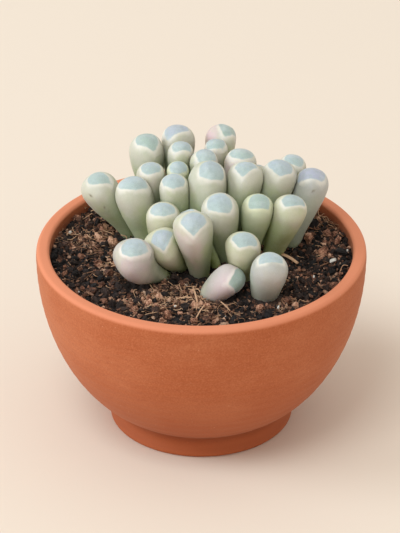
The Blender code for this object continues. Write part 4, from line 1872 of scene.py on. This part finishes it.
    def bed(self, top: bpy.types.Mesh) -> bpy.types.Mesh:
        """The whole block of soil, with its sides along the bowl's inside.

        Args:
            top: Its top surface.

        Returns:
            The closed mesh.
        """
        bm = bmesh.new()
        bm.from_mesh(top)
        edge = [e for e in bm.edges if e.is_boundary]
        heights = np.linspace(self.level - self.edge_drop - self.side_start,
                              self.bowl.floor_height + self.floor_gap, self.side_rings)
        for height in heights:
            grown = bmesh.ops.extrude_edge_only(bm, edges=edge)["geom"]
            radius = self.bowl.inner_radius(height) - self.wall_gap
            for vertex in [g for g in grown if isinstance(g, bmesh.types.BMVert)]:
                flat = Vector((vertex.co.x, vertex.co.y, 0)).normalized() * radius
                vertex.co = (flat.x, flat.y, height)
            edge = [g for g in grown if isinstance(g, bmesh.types.BMEdge)]
        bmesh.ops.contextual_create(bm, geom=edge)
        bmesh.ops.recalc_face_normals(bm, faces=bm.faces)
        mesh = take_mesh(bm, "soil_bed")
        mesh.shade_smooth()
        mesh.materials.append(DEEP_SOIL.material())
        return mesh

    def build(self) -> None:
        """Fill the bowl and scatter the loose bits."""
        top = self.top()
        put_piece("soil_bed", self.bed(top), "potting_soil", "soil")
        materials: dict[Peat, bpy.types.Material] = {}
        for bits in LOOSE_BITS:
            if bits.peat not in materials:
                materials[bits.peat] = bits.peat.material()
            mesh = bits.scattering(materials[bits.peat]).run(bits.name, top.copy())
            if bits.shape is BitShape.FIBRE:
                mesh.shade_smooth()
            put_piece(bits.name, mesh, "potting_soil")
        straw = STRAW.material()
        for index, splinter in enumerate(SPLINTERS, start=1):
            put_piece(f"straw_splinter_{index}", splinter.mesh(straw), "potting_soil")
        put_piece("white_grain", WHITE_GRAIN.mesh(materials[PERLITE]), "potting_soil")


# Studio


@dataclass(frozen=True)
class Panel:
    """A square soft light that faces the plant, with its power in watts."""

    name: str
    place: Triple
    power: float
    colour: Colour
    side: float = 1.0

    def hang(self, aim: Vector) -> None:
        """Hang the light.

        Args:
            aim: The point that it faces.
        """
        light = bpy.data.lights.new(self.name, "AREA")
        light.shape = "SQUARE"
        light.size = self.side
        light.energy = self.power
        light.color = self.colour
        lamp = add_object(self.name, light)
        lamp.location = self.place
        lamp.rotation_euler = (aim - Vector(self.place)).to_track_quat("-Z", "Y").to_euler()


@dataclass
class Studio:
    """The pale floor, the soft light and the camera.

    The camera's rise is in degrees, and its shift is in pixels of the picture.
    """

    floor_colour: Colour = (0.832, 0.72, 0.613)
    floor_reach: float = 3.0
    low_light: Panel = Panel("key", (-2.17, -0.10, 1.05), 26.6, (0.853, 0.929, 1.0))
    high_light: Panel = Panel("high", (-0.60, -1.04, 2.08), 18.1, (0.862, 0.961, 1.0))
    glow_colour: Colour = (1.0, 0.962, 0.894)
    glow_strength: float = 0.738
    camera_rise: float = 30.09
    camera_distance: float = 1.2
    camera_clearance: float = 0.01
    aim_height: float = 50.94 * MM
    lens: float = 267.4
    sensor: float = 36
    picture_height: float = 533
    shift: float = -1.3

    def floor(self) -> None:
        """A wide level sheet of matt card."""
        bm = bmesh.new()
        bmesh.ops.create_grid(bm, x_segments=1, y_segments=1, size=self.floor_reach)
        mesh = take_mesh(bm, "floor")
        paint = Paint("pale_card")
        paint.feed("Base Color", self.floor_colour)
        paint.feed("Roughness", 0.9)
        paint.feed("Specular IOR Level", 0.15)
        mesh.materials.append(paint.material)
        add_object("floor", mesh)

    def lights(self) -> None:
        """A low soft key from the left, a higher one from the front left and an even glow."""
        for panel in (self.low_light, self.high_light):
            panel.hang(Vector((0, 0, self.aim_height)))
        world = bpy.data.worlds.new("studio")
        world.use_nodes = True
        glow = world.node_tree.nodes["Background"]
        glow.inputs["Color"].default_value = (*self.glow_colour, 1.0)
        glow.inputs["Strength"].default_value = self.glow_strength
        bpy.context.scene.world = world

    def camera(self) -> None:
        """A long lens, above the front of the plant."""
        data = bpy.data.cameras.new("camera")
        data.lens = self.lens
        data.sensor_width = self.sensor
        data.shift_x = self.shift / self.picture_height
        data.clip_start = self.camera_clearance
        eye = add_object("camera", data)
        rise = radians(self.camera_rise)
        eye.location = (0, -cos(rise) * self.camera_distance,
                        self.aim_height + sin(rise) * self.camera_distance)
        eye.rotation_euler = (pi / 2 - rise, 0, 0)
        bpy.context.scene.camera = eye

    def build(self) -> None:
        """Set the studio up."""
        self.floor()
        self.lights()
        self.camera()
        bpy.context.scene.view_settings.view_transform = "Standard"


def main() -> None:
    """Build the bowl, the leaves and the soil in the CAD's frame, and light them."""
    logging.basicConfig(level=logging.INFO, format="%(name)s: %(message)s")
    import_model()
    bowl = FootedBowl()
    bowl.build()
    for leaf in LEAVES:
        put_piece("waxy_" + leaf.name, leaf.mesh(LEAVES), "leaf_skin", leaf.name)
    SoilBed(bowl, LEAVES).build()
    Studio().build()


if __name__ == "__main__":
    main()
